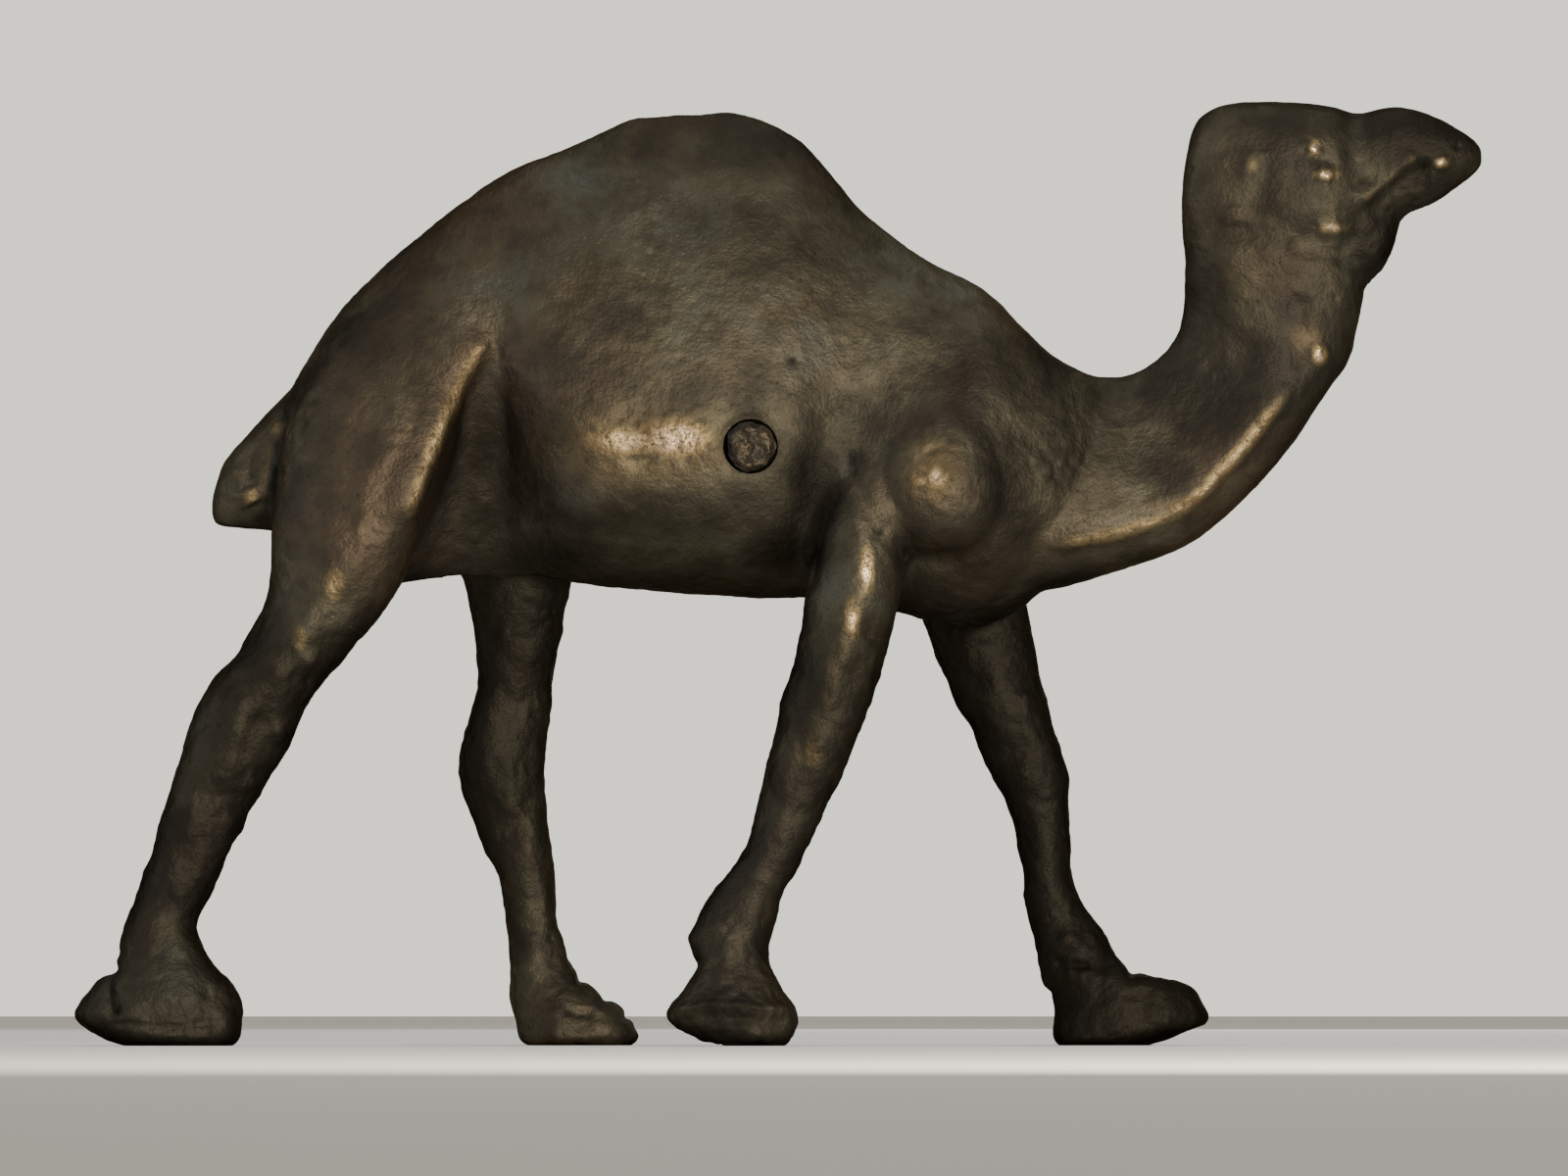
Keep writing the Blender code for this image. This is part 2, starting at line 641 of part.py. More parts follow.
def build_pins(legs, finish):
    x, z = RIVET_AT
    length = 2 * (trunk_half_width(x, z) - RIVET_SINK)
    at = (x * ALONG, 0, z * UP)
    rod("tie_rivet", at, (0, 1, 0), RIVET_DIAMETER / 2, length, finish, RIVET_DOME)
    for name, (x, z) in SHELL_DOWELS.items():
        at = (x * ALONG, 0, z * UP)
        rod(name, at, (0, 1, 0), SHELL_DOWEL_DIAMETER / 2, SHELL_DOWEL_LENGTH, finish)
    for leg in legs:
        leg.dowel(finish)
    centre, axis = neck_axis()
    rod("dowel_neck", centre, axis, NECK_DOWEL_DIAMETER / 2, NECK_DOWEL_LENGTH, finish)
    centre, normal = tail_frame()
    rod("dowel_tail", centre, normal, TAIL_DOWEL_DIAMETER / 2, TAIL_DOWEL_LENGTH, finish)


def build():
    clear_scene()
    patina = material(*BRONZE)
    bare = material(*BARE)
    legs = [
        Leg("hind_leg_right", HIND_RIGHT, FOOT_HIND_RIGHT, -1, HIND_RIGHT_JOINT),
        Leg("hind_leg_left", HIND_LEFT, FOOT_HIND_LEFT, 1, HIND_LEFT_JOINT),
        Leg("fore_leg_right", FORE_RIGHT, FOOT_FORE_RIGHT, -1, FORE_RIGHT_JOINT),
        Leg("fore_leg_left", FORE_LEFT, FOOT_FORE_LEFT, 1, FORE_LEFT_JOINT),
    ]
    for leg in legs:
        leg.build(patina)
    build_neck_and_head(patina)
    build_tail(patina)
    build_shells(legs, patina)
    build_pins(legs, bare)


build()
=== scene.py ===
"""Bronze dromedary statuette: its look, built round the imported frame.

Laid out as a Blender add-on. Each operator makes one piece, or a group of like
pieces, and the stage has one of its own. All the cast pieces come from one body:
surfaces worked out with numpy are fused, softened, tooled and roughened like a
wax and its casting, and the body is then sawn where the frame's dowels stand.
"""

import math
from functools import lru_cache

import bpy
import mathutils
import numpy as np
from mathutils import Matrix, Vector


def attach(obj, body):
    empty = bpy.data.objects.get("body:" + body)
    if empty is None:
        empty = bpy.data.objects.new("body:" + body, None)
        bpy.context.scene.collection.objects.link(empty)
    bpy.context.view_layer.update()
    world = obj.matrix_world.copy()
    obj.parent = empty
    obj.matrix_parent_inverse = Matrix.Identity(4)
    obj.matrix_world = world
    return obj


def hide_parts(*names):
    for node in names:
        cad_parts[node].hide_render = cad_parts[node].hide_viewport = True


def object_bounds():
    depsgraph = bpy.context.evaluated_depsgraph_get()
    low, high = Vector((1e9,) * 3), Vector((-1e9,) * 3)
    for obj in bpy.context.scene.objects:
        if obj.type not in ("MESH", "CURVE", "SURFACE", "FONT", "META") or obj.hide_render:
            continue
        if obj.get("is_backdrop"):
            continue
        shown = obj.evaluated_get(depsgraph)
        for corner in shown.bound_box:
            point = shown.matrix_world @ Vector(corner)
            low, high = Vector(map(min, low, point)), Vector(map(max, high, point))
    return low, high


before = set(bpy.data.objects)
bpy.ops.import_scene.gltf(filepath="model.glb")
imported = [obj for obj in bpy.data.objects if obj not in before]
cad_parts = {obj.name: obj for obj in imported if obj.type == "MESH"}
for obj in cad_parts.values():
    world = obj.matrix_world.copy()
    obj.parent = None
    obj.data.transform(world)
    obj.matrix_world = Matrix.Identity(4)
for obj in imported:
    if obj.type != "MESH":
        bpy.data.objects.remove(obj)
CAD_LOW, CAD_HIGH = (np.array(corner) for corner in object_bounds())

bl_info = {
    "name": "Bronze Dromedary",
    "version": (1, 0, 0),
    "blender": (4, 5, 0),
    "location": "3D View > Sidebar > Dromedary",
    "description": "Casts, tools, patinates and lights a bronze dromedary statuette",
    "category": "Add Mesh",
}

MM = 0.001

# The maker's drawings below are in millimetres, for a figure of this size.
DRAWN = np.array((160.0, 32.0, 107.5))
SCALE = (CAD_HIGH - CAD_LOW) / (DRAWN * MM)

# Trunk sections: x, underside, top line, half width, level of the widest point,
# fullness above that level, fullness below it (2 is an ellipse, less is leaner).
TRUNK = [
    (-57.0, 58.8, 70.6, 6.8, 63.5, 2.2, 2.2),
    (-54.6, 54.8, 76.8, 10.0, 66.0, 2.1, 2.0),
    (-50.0, 52.5, 83.8, 11.4, 66.5, 2.0, 2.0),
    (-44.0, 52.5, 90.0, 12.0, 68.0, 1.9, 1.9),
    (-38.0, 53.2, 94.8, 11.6, 76.0, 1.8, 1.20),
    (-32.0, 53.4, 99.1, 11.0, 79.0, 1.7, 1.10),
    (-29.4, 53.4, 100.5, 12.2, 76.6, 1.65, 1.18),
    (-26.5, 53.2, 101.7, 13.8, 73.8, 1.6, 1.40),
    (-23.4, 52.9, 102.9, 14.9, 71.2, 1.55, 1.75),
    (-20.0, 52.5, 104.4, 15.3, 69.6, 1.5, 2.05),
    (-16.5, 52.2, 106.0, 15.4, 69.0, 1.45, 2.2),
    (-11.0, 51.6, 106.5, 15.3, 68.4, 1.4, 2.1),
    (-4.5, 51.2, 106.7, 14.8, 68.1, 1.4, 2.1),
    (1.5, 51.0, 104.3, 13.9, 67.9, 1.45, 2.0),
    (5.0, 51.0, 101.2, 12.6, 68.4, 1.5, 1.8),
    (10.0, 50.0, 95.2, 11.8, 67.6, 1.6, 1.8),
    (17.0, 48.6, 89.9, 12.0, 66.0, 1.7, 2.0),
    (23.5, 48.0, 86.6, 11.8, 65.0, 1.8, 2.0),
    (28.0, 50.0, 82.2, 10.2, 64.5, 1.9, 2.0),
    (32.0, 53.6, 78.6, 8.4, 64.5, 2.0, 2.0),
    (36.5, 57.5, 76.4, 5.6, 65.0, 2.0, 2.0),
]

# Head sections, as the trunk's.
HEAD = [
    (46.3, 91.5, 99.0, 2.0, 95.5, 2.0, 2.0),
    (47.6, 88.0, 105.0, 3.7, 96.0, 2.4, 2.2),
    (50.0, 85.5, 107.2, 4.8, 97.0, 2.5, 2.2),
    (54.0, 84.5, 107.9, 5.6, 98.0, 2.5, 2.2),
    (58.5, 84.5, 107.8, 6.1, 98.5, 2.4, 2.1),
    (62.5, 84.6, 107.4, 6.0, 98.5, 2.2, 2.0),
    (66.0, 85.2, 106.6, 5.1, 98.0, 2.1, 1.9),
    (68.2, 87.9, 106.9, 4.6, 99.0, 2.2, 1.9),
    (69.9, 91.5, 107.2, 4.4, 100.5, 2.3, 2.0),
    (71.6, 94.5, 107.2, 4.3, 101.2, 2.3, 2.0),
    (75.2, 96.2, 106.2, 4.0, 101.4, 2.3, 2.0),
    (78.6, 98.6, 104.4, 3.1, 101.6, 2.2, 2.1),
    (80.6, 100.4, 102.6, 1.5, 101.6, 2.0, 2.0),
]

# Neck and limb sections: x, z, half depth, half width, distance from the middle
# plane, how far the outermost crest is shifted along the depth, and fullness.
NECK = [
    (20.0, 63.6, 12.0, 8.4, 0.0, -0.20, 2.0),
    (28.5, 64.2, 12.5, 8.0, 0.0, -0.34, 1.9),
    (35.5, 65.1, 11.6, 7.4, 0.0, -0.42, 1.8),
    (42.2, 66.6, 10.7, 6.8, 0.0, -0.46, 1.7),
    (48.2, 70.4, 9.4, 6.3, 0.0, -0.46, 1.7),
    (53.1, 76.1, 9.0, 6.0, 0.0, -0.44, 1.8),
    (56.2, 83.0, 10.0, 5.8, 0.0, -0.20, 2.1),
    (57.0, 90.0, 10.2, 5.9, 0.0, 0.00, 2.3),
    (57.2, 95.5, 9.0, 5.2, 0.0, 0.00, 2.3),
]
HIND_RIGHT = [
    (-40.0, 83.6, 5.0, 2.6, 5.0, 0.10, 2.0),
    (-43.4, 75.0, 8.5, 5.2, 7.0, 0.34, 1.9),
    (-46.9, 67.0, 9.6, 6.8, 7.7, 0.42, 1.8),
    (-49.0, 59.8, 8.6, 6.7, 8.5, 0.34, 2.0),
    (-50.7, 53.2, 7.4, 6.0, 8.9, 0.10, 2.1),
    (-53.8, 47.3, 5.6, 5.1, 9.2, 0.05, 1.95),
    (-57.1, 42.4, 5.1, 4.7, 9.4, 0.05, 1.95),
    (-60.1, 38.0, 5.6, 4.6, 9.5, 0.00, 1.95),
    (-62.1, 33.9, 5.6, 4.4, 9.5, -0.05, 1.95),
    (-64.0, 29.4, 4.9, 4.1, 9.5, -0.10, 1.95),
    (-66.0, 24.5, 4.4, 3.9, 9.5, -0.10, 2.0),
    (-67.9, 19.5, 4.0, 3.7, 9.5, 0.00, 2.0),
    (-69.6, 15.0, 3.9, 3.6, 9.5, 0.00, 2.1),
    (-70.4, 10.5, 4.8, 4.2, 9.5, 0.00, 2.1),
]
HIND_LEFT = [
    (-38.0, 81.0, 5.5, 2.2, 4.8, 0.10, 2.0),
    (-34.6, 72.0, 8.8, 5.6, 7.0, 0.20, 2.2),
    (-31.0, 61.5, 8.0, 6.3, 8.1, 0.20, 2.2),
    (-29.8, 54.5, 6.6, 5.6, 8.7, 0.10, 2.1),
    (-29.7, 50.0, 5.5, 5.0, 9.0, 0.00, 2.1),
    (-29.8, 44.5, 4.6, 4.5, 9.3, -0.10, 2.1),
    (-30.1, 40.0, 4.3, 4.2, 9.5, -0.15, 2.1),
    (-31.0, 36.0, 4.7, 4.2, 9.5, -0.15, 2.1),
    (-31.6, 32.5, 5.1, 4.2, 9.5, -0.10, 2.1),
    (-31.0, 28.5, 4.6, 4.0, 9.5, 0.00, 2.1),
    (-29.8, 23.5, 3.9, 3.7, 9.5, 0.00, 2.1),
    (-28.6, 18.5, 3.2, 3.4, 9.5, 0.00, 2.1),
    (-28.0, 14.0, 3.0, 3.3, 9.5, 0.00, 2.1),
    (-27.5, 10.0, 3.3, 3.7, 9.5, 0.00, 2.1),
]
FORE_RIGHT = [
    (12.4, 68.0, 3.6, 3.2, 7.6, 0.00, 2.0),
    (10.4, 62.0, 4.8, 4.6, 9.0, 0.05, 2.0),
    (9.5, 57.0, 5.2, 5.0, 9.7, 0.10, 2.0),
    (8.7, 52.0, 5.4, 5.0, 10.0, 0.10, 2.0),
    (7.8, 47.0, 5.2, 4.8, 10.0, 0.05, 2.0),
    (6.6, 42.0, 5.0, 4.6, 9.9, 0.00, 2.0),
    (5.0, 37.5, 4.8, 4.4, 9.8, 0.00, 2.0),
    (3.6, 33.0, 4.5, 4.4, 9.7, 0.00, 2.0),
    (2.0, 28.5, 3.9, 4.0, 9.6, 0.00, 2.0),
    (0.5, 24.0, 3.5, 3.6, 9.5, 0.05, 2.0),
    (-1.8, 19.5, 3.3, 3.4, 9.5, 0.05, 2.0),
    (-4.1, 15.0, 4.0, 3.6, 9.5, 0.00, 2.0),
    (-5.3, 11.8, 4.5, 4.0, 9.5, 0.00, 2.0),
    (-5.1, 8.0, 3.9, 4.1, 9.5, 0.00, 2.0),
]
FORE_LEFT = [
    (18.5, 66.0, 5.5, 4.0, 7.0, 0.00, 2.0),
    (20.5, 58.0, 6.4, 5.2, 8.4, 0.00, 2.1),
    (22.2, 51.5, 6.2, 5.2, 9.2, 0.00, 2.1),
    (23.6, 46.5, 5.8, 4.9, 9.5, 0.00, 2.1),
    (25.2, 41.5, 5.2, 4.6, 9.5, 0.05, 2.1),
    (26.9, 37.0, 4.7, 4.4, 9.5, 0.10, 2.1),
    (28.4, 33.0, 4.4, 4.2, 9.5, 0.10, 2.1),
    (29.7, 29.0, 3.9, 4.0, 9.5, 0.10, 2.1),
    (30.5, 24.0, 3.1, 3.6, 9.5, 0.00, 2.1),
    (30.9, 19.5, 2.8, 3.3, 9.5, 0.00, 2.1),
    (32.0, 15.0, 3.3, 3.5, 9.5, 0.00, 2.1),
    (34.0, 11.0, 4.2, 4.0, 9.5, 0.00, 2.1),
    (35.0, 8.0, 4.5, 4.4, 9.5, 0.00, 2.1),
]
TAIL = [
    (-50.4, 78.4, 1.4, 1.8, 0.0, 0.0, 2.0),
    (-53.2, 74.2, 2.3, 4.2, 0.0, 0.0, 2.2),
    (-56.0, 69.3, 3.8, 5.3, 0.0, 0.0, 2.6),
    (-58.2, 64.6, 5.4, 5.5, 0.0, 0.0, 2.8),
    (-59.9, 61.2, 4.9, 5.0, 0.0, 0.0, 2.6),
    (-60.2, 59.0, 4.0, 3.8, 0.0, 0.0, 2.4),
]

# Foot sections: z, rear end, front end, half width.
FOOT_HIND_RIGHT = [
    (13.0, -74.2, -66.2, 3.9),
    (9.6, -75.2, -64.4, 4.6),
    (7.4, -77.4, -62.2, 5.5),
    (5.4, -79.4, -61.0, 6.1),
    (3.4, -80.0, -60.7, 6.4),
    (1.6, -78.0, -61.0, 6.5),
    (0.5, -75.6, -61.6, 6.2),
    (0.0, -74.0, -63.0, 5.3),
]
FOOT_HIND_LEFT = [
    (12.0, -30.7, -24.8, 3.4),
    (9.3, -30.6, -23.6, 3.8),
    (7.0, -30.6, -21.6, 4.4),
    (5.2, -30.5, -18.7, 5.2),
    (3.5, -30.4, -17.3, 6.0),
    (1.5, -29.9, -15.8, 6.5),
    (0.5, -29.5, -16.0, 6.3),
    (0.0, -28.4, -17.2, 5.4),
]
FOOT_FORE_RIGHT = [
    (11.2, -9.8, -1.4, 3.9),
    (9.0, -9.0, -0.5, 4.3),
    (7.2, -10.2, 0.3, 5.1),
    (5.6, -11.8, 0.9, 5.9),
    (4.0, -12.7, 2.2, 6.4),
    (2.8, -12.6, 2.5, 6.5),
    (1.0, -9.6, 1.9, 6.3),
    (0.0, -6.4, 0.8, 5.4),
]
FOOT_FORE_LEFT = [
    (13.5, 29.3, 36.6, 3.6),
    (10.4, 30.2, 38.8, 4.2),
    (8.2, 31.1, 41.2, 4.8),
    (6.9, 31.6, 47.4, 5.3),
    (4.8, 31.9, 49.1, 6.0),
    (2.6, 31.7, 49.5, 6.4),
    (1.2, 31.6, 46.0, 6.5),
    (0.4, 31.8, 43.4, 6.2),
    (0.0, 32.6, 41.4, 5.4),
]

# Swellings: x, z, distance from the middle plane, half length, half height, half
# thickness, how far the top leans forward in degrees, and how much narrower it is.
LUMPS = [
    (18.4, 65.0, 8.6, 8.3, 9.7, 5.7, 8.0, 0.22),  # the muscle of each shoulder
    (62.3, 80.4, 0.0, 3.7, 5.4, 4.8, 14.0, 0.0),  # throat
    (68.2, 91.6, 0.0, 2.3, 4.9, 3.8, 24.0, 0.0),  # jaw
]

# Tool strokes on the wax: the faces they touch, their height (cut if negative), how
# softly they fall off to the left and to the right of their path, and the path in x, z.
STROKES = [
    # Thigh: its front crest and the muscles behind it. Flank: the block and the knot.
    ("right", 0.74, 1.1, 3.2,
     [(-32.6, 81.6), (-35.4, 76.6), (-37.6, 72.0), (-39.4, 67.6), (-41.6, 61.5), (-43.0, 58.5)]),
    ("right", -0.22, 1.8, 1.8, [(-40.8, 74.0), (-43.0, 66.4), (-45.6, 60.8)]),
    ("right", 0.26, 1.8, 1.8, [(-42.0, 75.0), (-45.2, 66.0), (-48.4, 60.0)]),
    ("right", 0.22, 0.6, 0.8, [(-46.6, 60.8), (-47.4, 58.4), (-46.2, 56.4)]),
    ("right", 0.45, 1.8, 1.8, [(-33.7, 61.9)]),
    # Shank: a crest that runs from the thigh over the hock, and a ragged front.
    ("right", 0.34, 1.3, 2.8, [(-45.6, 58.4), (-50.1, 52.1), (-53.9, 46.7), (-59.9, 38.5), (-63.8, 28.0)]),
    ("all", 0.50, 1.2, 1.2, [(-53.3, 43.2)]),
    ("all", 0.50, 1.1, 1.1, [(-56.6, 35.8)]),
    ("all", 0.45, 1.0, 1.0, [(-59.6, 29.8)]),
    ("all", 0.35, 1.0, 1.0, [(-62.2, 25.0)]),
    ("right", -0.22, 1.5, 1.5, [(-58.0, 49.0), (-62.2, 42.0), (-65.4, 34.0)]),
    ("left", 0.45, 1.6, 1.6, [(-31.0, 56.0), (-30.6, 44.0), (-31.2, 34.0), (-30.0, 24.0)]),
    ("left", 0.50, 1.0, 2.6, [(-27.0, 78.0), (-27.6, 70.0), (-25.8, 60.0)]),
    # Barrel: its edge by the flank, and the folds behind the elbows.
    ("right", 0.34, 3.4, 1.6, [(-31.0, 76.0), (-28.2, 69.4), (-25.0, 63.4), (-20.0, 58.6)]),
    ("right", -0.70, 2.9, 2.9, [(9.8, 75.0), (6.6, 70.0), (4.4, 64.4), (3.0, 58.0), (2.0, 50.0)]),
    ("left", -0.7, 2.6, 2.6, [(12.0, 66.0), (12.6, 58.0), (13.6, 52.5)]),
    ("outer", -0.35, 0.7, 0.7, [(1.8, 78.0)]),
    # Shoulder: a soft valley over its back that tightens to a crease at the leg.
    ("outer", -0.38, 2.6, 2.6, [(22.5, 77.6), (15.6, 76.4), (11.0, 72.4), (9.0, 66.4)]),
    ("outer", -0.50, 1.1, 1.1, [(8.4, 68.4), (9.2, 64.2), (10.8, 60.2), (12.6, 57.4)]),
    ("outer", -0.30, 1.5, 1.5, [(11.0, 58.8), (15.5, 55.8), (21.5, 55.4)]),
    # Forelegs: a soft crest down the outer face.
    ("right", 0.36, 1.6, 2.0, [(10.8, 57.6), (9.8, 52.6), (8.4, 48.0), (6.4, 41.0), (4.4, 33.0)]),
    ("left", 0.36, 1.7, 1.7, [(21.4, 56.0), (24.0, 47.0), (27.4, 37.0), (30.4, 25.0)]),
    # Neck: the crest above its underside, the flat side and the edge of the nape.
    ("outer", 0.70, 2.8, 1.0,
     [(29.0, 57.0), (34.5, 57.5), (40.5, 58.9), (46.1, 61.2), (50.8, 65.6), (54.5, 69.9), (59.6, 76.4)]),
    ("outer", -0.50, 3.6, 3.6, [(38.0, 67.5), (44.5, 69.6), (50.0, 75.4), (54.6, 82.0)]),
    ("outer", 0.20, 1.2, 2.4, [(50.6, 76.5), (52.0, 84.0), (51.8, 92.0)]),
    ("outer", -0.28, 1.5, 1.3, [(59.9, 86.0), (59.2, 81.4), (60.2, 76.4)]),
    ("outer", 0.35, 1.1, 1.1, [(61.9, 78.7)]),
    # Head: brow, eyelid, cheek, ear and jaw bone, then the sockets between them.
    ("outer", 0.45, 1.1, 1.1, [(61.0, 101.9), (61.4, 102.5)]),
    ("outer", 0.42, 1.0, 1.0, [(61.6, 99.6), (63.4, 99.0)]),
    ("outer", 0.50, 4.2, 4.2, [(60.8, 95.6)]),
    ("outer", 0.38, 1.2, 1.2, [(61.6, 92.9), (64.4, 93.5)]),
    ("outer", 0.35, 1.5, 1.5, [(53.9, 100.4)]),
    ("outer", 0.30, 1.8, 1.8, [(52.2, 95.8), (52.0, 93.6)]),
    ("outer", -0.20, 0.9, 0.9, [(60.6, 100.8), (62.2, 100.8), (63.8, 100.5)]),
    ("outer", -0.20, 1.3, 1.5, [(55.8, 101.6), (55.4, 97.6), (54.8, 94.0)]),
    ("outer", -0.28, 1.8, 1.0, [(57.6, 91.4), (60.4, 90.4), (63.6, 90.8), (66.2, 93.2)]),
    ("outer", -0.42, 1.8, 1.6, [(66.4, 107.6), (66.0, 102.6), (66.8, 97.2)]),
    ("outer", -0.38, 0.7, 2.4, [(66.8, 95.0), (69.6, 97.0), (72.2, 99.2), (74.8, 99.8)]),
    ("outer", 0.28, 0.9, 0.6, [(66.4, 96.0), (69.0, 98.4), (71.6, 100.6), (73.6, 101.8)]),
    ("outer", -0.50, 0.7, 0.7, [(74.1, 100.5)]),
    ("outer", 0.32, 0.7, 0.7, [(75.9, 100.7)]),
    ("outer", -0.25, 0.5, 0.5, [(77.8, 102.8)]),
    ("outer", -0.26, 1.1, 1.1, [(66.8, 96.0), (65.8, 92.4), (64.2, 88.4)]),
    # Feet: the cleft behind a heel, the rims over the soles, the fetlocks and the toes.
    ("all", -0.80, 0.8, 0.8, [(-75.4, 9.8), (-75.9, 7.0), (-75.0, 3.0)]),
    ("all", -0.20, 0.4, 0.4, [(-77.0, 2.6), (-70.0, 2.1), (-62.4, 2.7)]),
    ("all", 0.28, 0.5, 0.5, [(-12.4, 4.2), (-5.0, 4.8), (2.4, 3.9)]),
    ("all", -0.34, 0.8, 0.8, [(-12.2, 2.6), (-5.0, 3.2), (2.0, 2.4)]),
    ("all", 0.50, 1.0, 1.0, [(-10.0, 12.3)]),
    ("all", -0.45, 0.7, 0.7, [(-9.4, 9.2)]),
    ("all", -0.50, 0.7, 0.7, [(31.4, 9.7), (35.2, 9.2), (39.0, 9.7)]),
    ("all", 0.40, 1.1, 1.1, [(33.6, 12.0)]),
    ("all", -0.40, 0.8, 0.8, [(40.6, 8.4)]),
    ("all", -0.55, 0.6, 0.6, [(-22.4, 7.6)]),
    ("all", -0.55, 0.6, 0.6, [(-19.6, 5.6)]),
    ("all", -0.50, 0.5, 0.5, [(-17.2, 3.2)]),
    ("all", -0.30, 0.6, 0.6, [(-21.0, 3.4), (-24.6, 4.2)]),
    # Rivet: the skin beaten down round its end.
    ("right", -0.22, 0.5, 0.5,
     [(-3.1 + 3.45 * math.cos(0.4 * k), 68.4 + 3.45 * math.sin(0.4 * k)) for k in range(18)]),
    # Tail: the groove at its root, its lumps of hair and the pits between them.
    ("outer", -0.10, 1.0, 1.0, [(-53.6, 75.0), (-56.0, 69.0), (-57.2, 62.0)]),
    ("outer", 0.60, 1.1, 1.1, [(-57.2, 70.2)]),
    ("outer", 0.40, 0.9, 0.9, [(-55.4, 72.4)]),
    ("outer", 0.50, 1.3, 1.3, [(-60.4, 63.6), (-59.6, 61.8)]),
    ("outer", -0.40, 0.5, 0.5, [(-56.7, 65.4)]),
    ("outer", -0.30, 0.5, 0.5, [(-52.8, 73.4)]),
    ("outer", -0.30, 0.9, 0.9, [(-59.4, 68.6), (-60.2, 64.6)]),
    ("outer", 0.30, 0.9, 0.9, [(-61.6, 66.0), (-61.6, 62.4)]),
]

# Places of bright metal, partly wear from hands and partly painted highlights and sheen, among them those
# on the barrel, shoulder, throat, brow, eye, cheek, muzzle and legs: faces, x, z, half length, half height,
# strength.
RUBBED_AND_HIGHLIGHTS = [
    ("outer", -11.8, 68.9, 4.2, 2.2, 1.0),
    ("outer", -17.0, 68.6, 5.0, 1.8, 0.75),
    ("outer", -15.0, 67.8, 14.0, 6.0, 0.32),
    ("outer", 17.6, 65.2, 4.6, 5.0, 0.34),
    ("outer", 18.2, 64.6, 1.3, 1.5, 0.85),
    ("outer", 16.6, 64.2, 1.2, 0.8, 0.8),
    ("outer", 61.9, 78.7, 0.8, 1.0, 1.15),
    ("outer", 60.6, 80.4, 2.6, 3.4, 0.26),
    ("outer", 61.3, 102.2, 0.5, 0.9, 1.1),
    ("outer", 62.7, 99.3, 1.3, 0.5, 1.0),
    ("outer", 63.3, 93.2, 1.4, 0.5, 1.15),
    ("outer", 58.5, 96.5, 6.5, 7.5, 0.10),
    ("outer", 46.0, 61.4, 7.0, 1.4, 0.25),
    ("outer", 75.9, 100.7, 0.8, 0.5, 1.1),
    ("outer", 54.2, 100.4, 0.9, 1.1, 0.3),
    ("outer", -42.5, 73.5, 9.0, 13.0, 0.12),
    ("outer", -26.0, 84.0, 10.0, 8.0, 0.14),
    ("outer", 2.0, 84.0, 7.0, 6.0, 0.16),
    ("outer", -57.0, 70.4, 1.2, 1.2, 0.35),
    ("outer", -58.0, 66.0, 4.0, 7.0, 0.20),
    ("right", 10.2, 54.0, 0.8, 2.6, 1.00),
    ("right", 8.6, 48.4, 0.8, 2.2, 1.10),
    ("right", 4.0, 33.4, 1.2, 2.2, 0.75),
    ("right", -50.2, 52.2, 1.0, 1.8, 0.80),
    ("right", -54.2, 46.2, 0.9, 1.6, 0.65),
    ("all", 33.4, 11.9, 0.9, 0.7, 0.4),
    ("all", -1.0, 9.0, 1.6, 1.4, 0.25),
]

# Clouds of darker patina and of painted shade: those on the hump, in the flank pocket, in the folds round
# the elbows and shoulder, under the belly, on the jaw and on the far foreleg are painted shade, the others
# darker patina. A negative strength lightens, lifting painted shade on the legs, a foot and the neck's
# underside. Columns: x, z, half length, half height, strength.
PATINA_CLOUDS_AND_PAINTED_SHADE = [
    (-8.0, 104.0, 26.0, 7.0, 0.45),
    (-2.0, 91.0, 16.0, 9.0, 0.48),
    (-22.0, 90.0, 11.0, 9.0, 0.30),
    (-43.0, 71.0, 7.0, 12.0, 0.18),
    (33.0, 66.0, 7.0, 9.0, 0.52),
    (46.0, 70.0, 9.0, 8.0, 0.30),
    (56.0, 90.0, 8.0, 11.0, 0.40),
    (58.0, 107.0, 12.0, 4.0, 0.40),
    (75.0, 103.0, 8.0, 6.0, 0.75),
    (69.0, 91.0, 5.0, 8.0, 1.10),
    (27.0, 40.0, 8.0, 16.0, 0.80),
    (-15.0, 56.0, 20.0, 4.0, 0.35),
    (-33.4, 69.0, 2.8, 7.0, 0.70),
    (-32.4, 61.5, 6.0, 5.5, 0.70),
    (-27.0, 55.5, 10.0, 4.0, 0.90),
    (-28.0, 26.0, 7.0, 22.0, -0.34),
    (0.0, 18.0, 10.0, 20.0, -0.40),
    (44.0, 57.5, 12.0, 3.0, -0.45),
    (-23.0, 5.0, 10.0, 12.0, -0.90),
    (4.8, 63.5, 3.4, 7.0, 0.85),
    (1.0, 56.0, 8.0, 3.6, 0.80),
    (22.0, 54.0, 9.0, 5.0, 0.60),
    (20.0, 76.0, 8.0, 4.0, 0.40),
    (27.0, 63.0, 4.0, 8.0, 0.70),
    (-15.0, 59.5, 18.0, 3.5, 0.62),
]

# Rough patches left by the joining of the castings: x, z, radius.
ROUGH_PATCHES = [
    (32.0, 66.2, 3.6),
    (-54.6, 71.0, 2.0),
    (-56.9, 65.5, 1.8),
    (20.8, 48.8, 2.4),
    (-26.4, 51.2, 2.4),
    (-31.8, 78.6, 1.6),
    (-14.0, 68.8, 4.0),
    (18.0, 65.4, 3.4),
    (35.0, 9.6, 2.4),
    (72.6, 96.4, 3.4),
    (68.0, 88.0, 2.4),
    (-18.0, 5.0, 3.4),
    (-5.0, 2.6, 5.0),
]

LEG_NAMES = ("fore_leg_right", "fore_leg_left", "hind_leg_right", "hind_leg_left")
FOOT_FULLNESS = 2.4  # of the feet's level sections
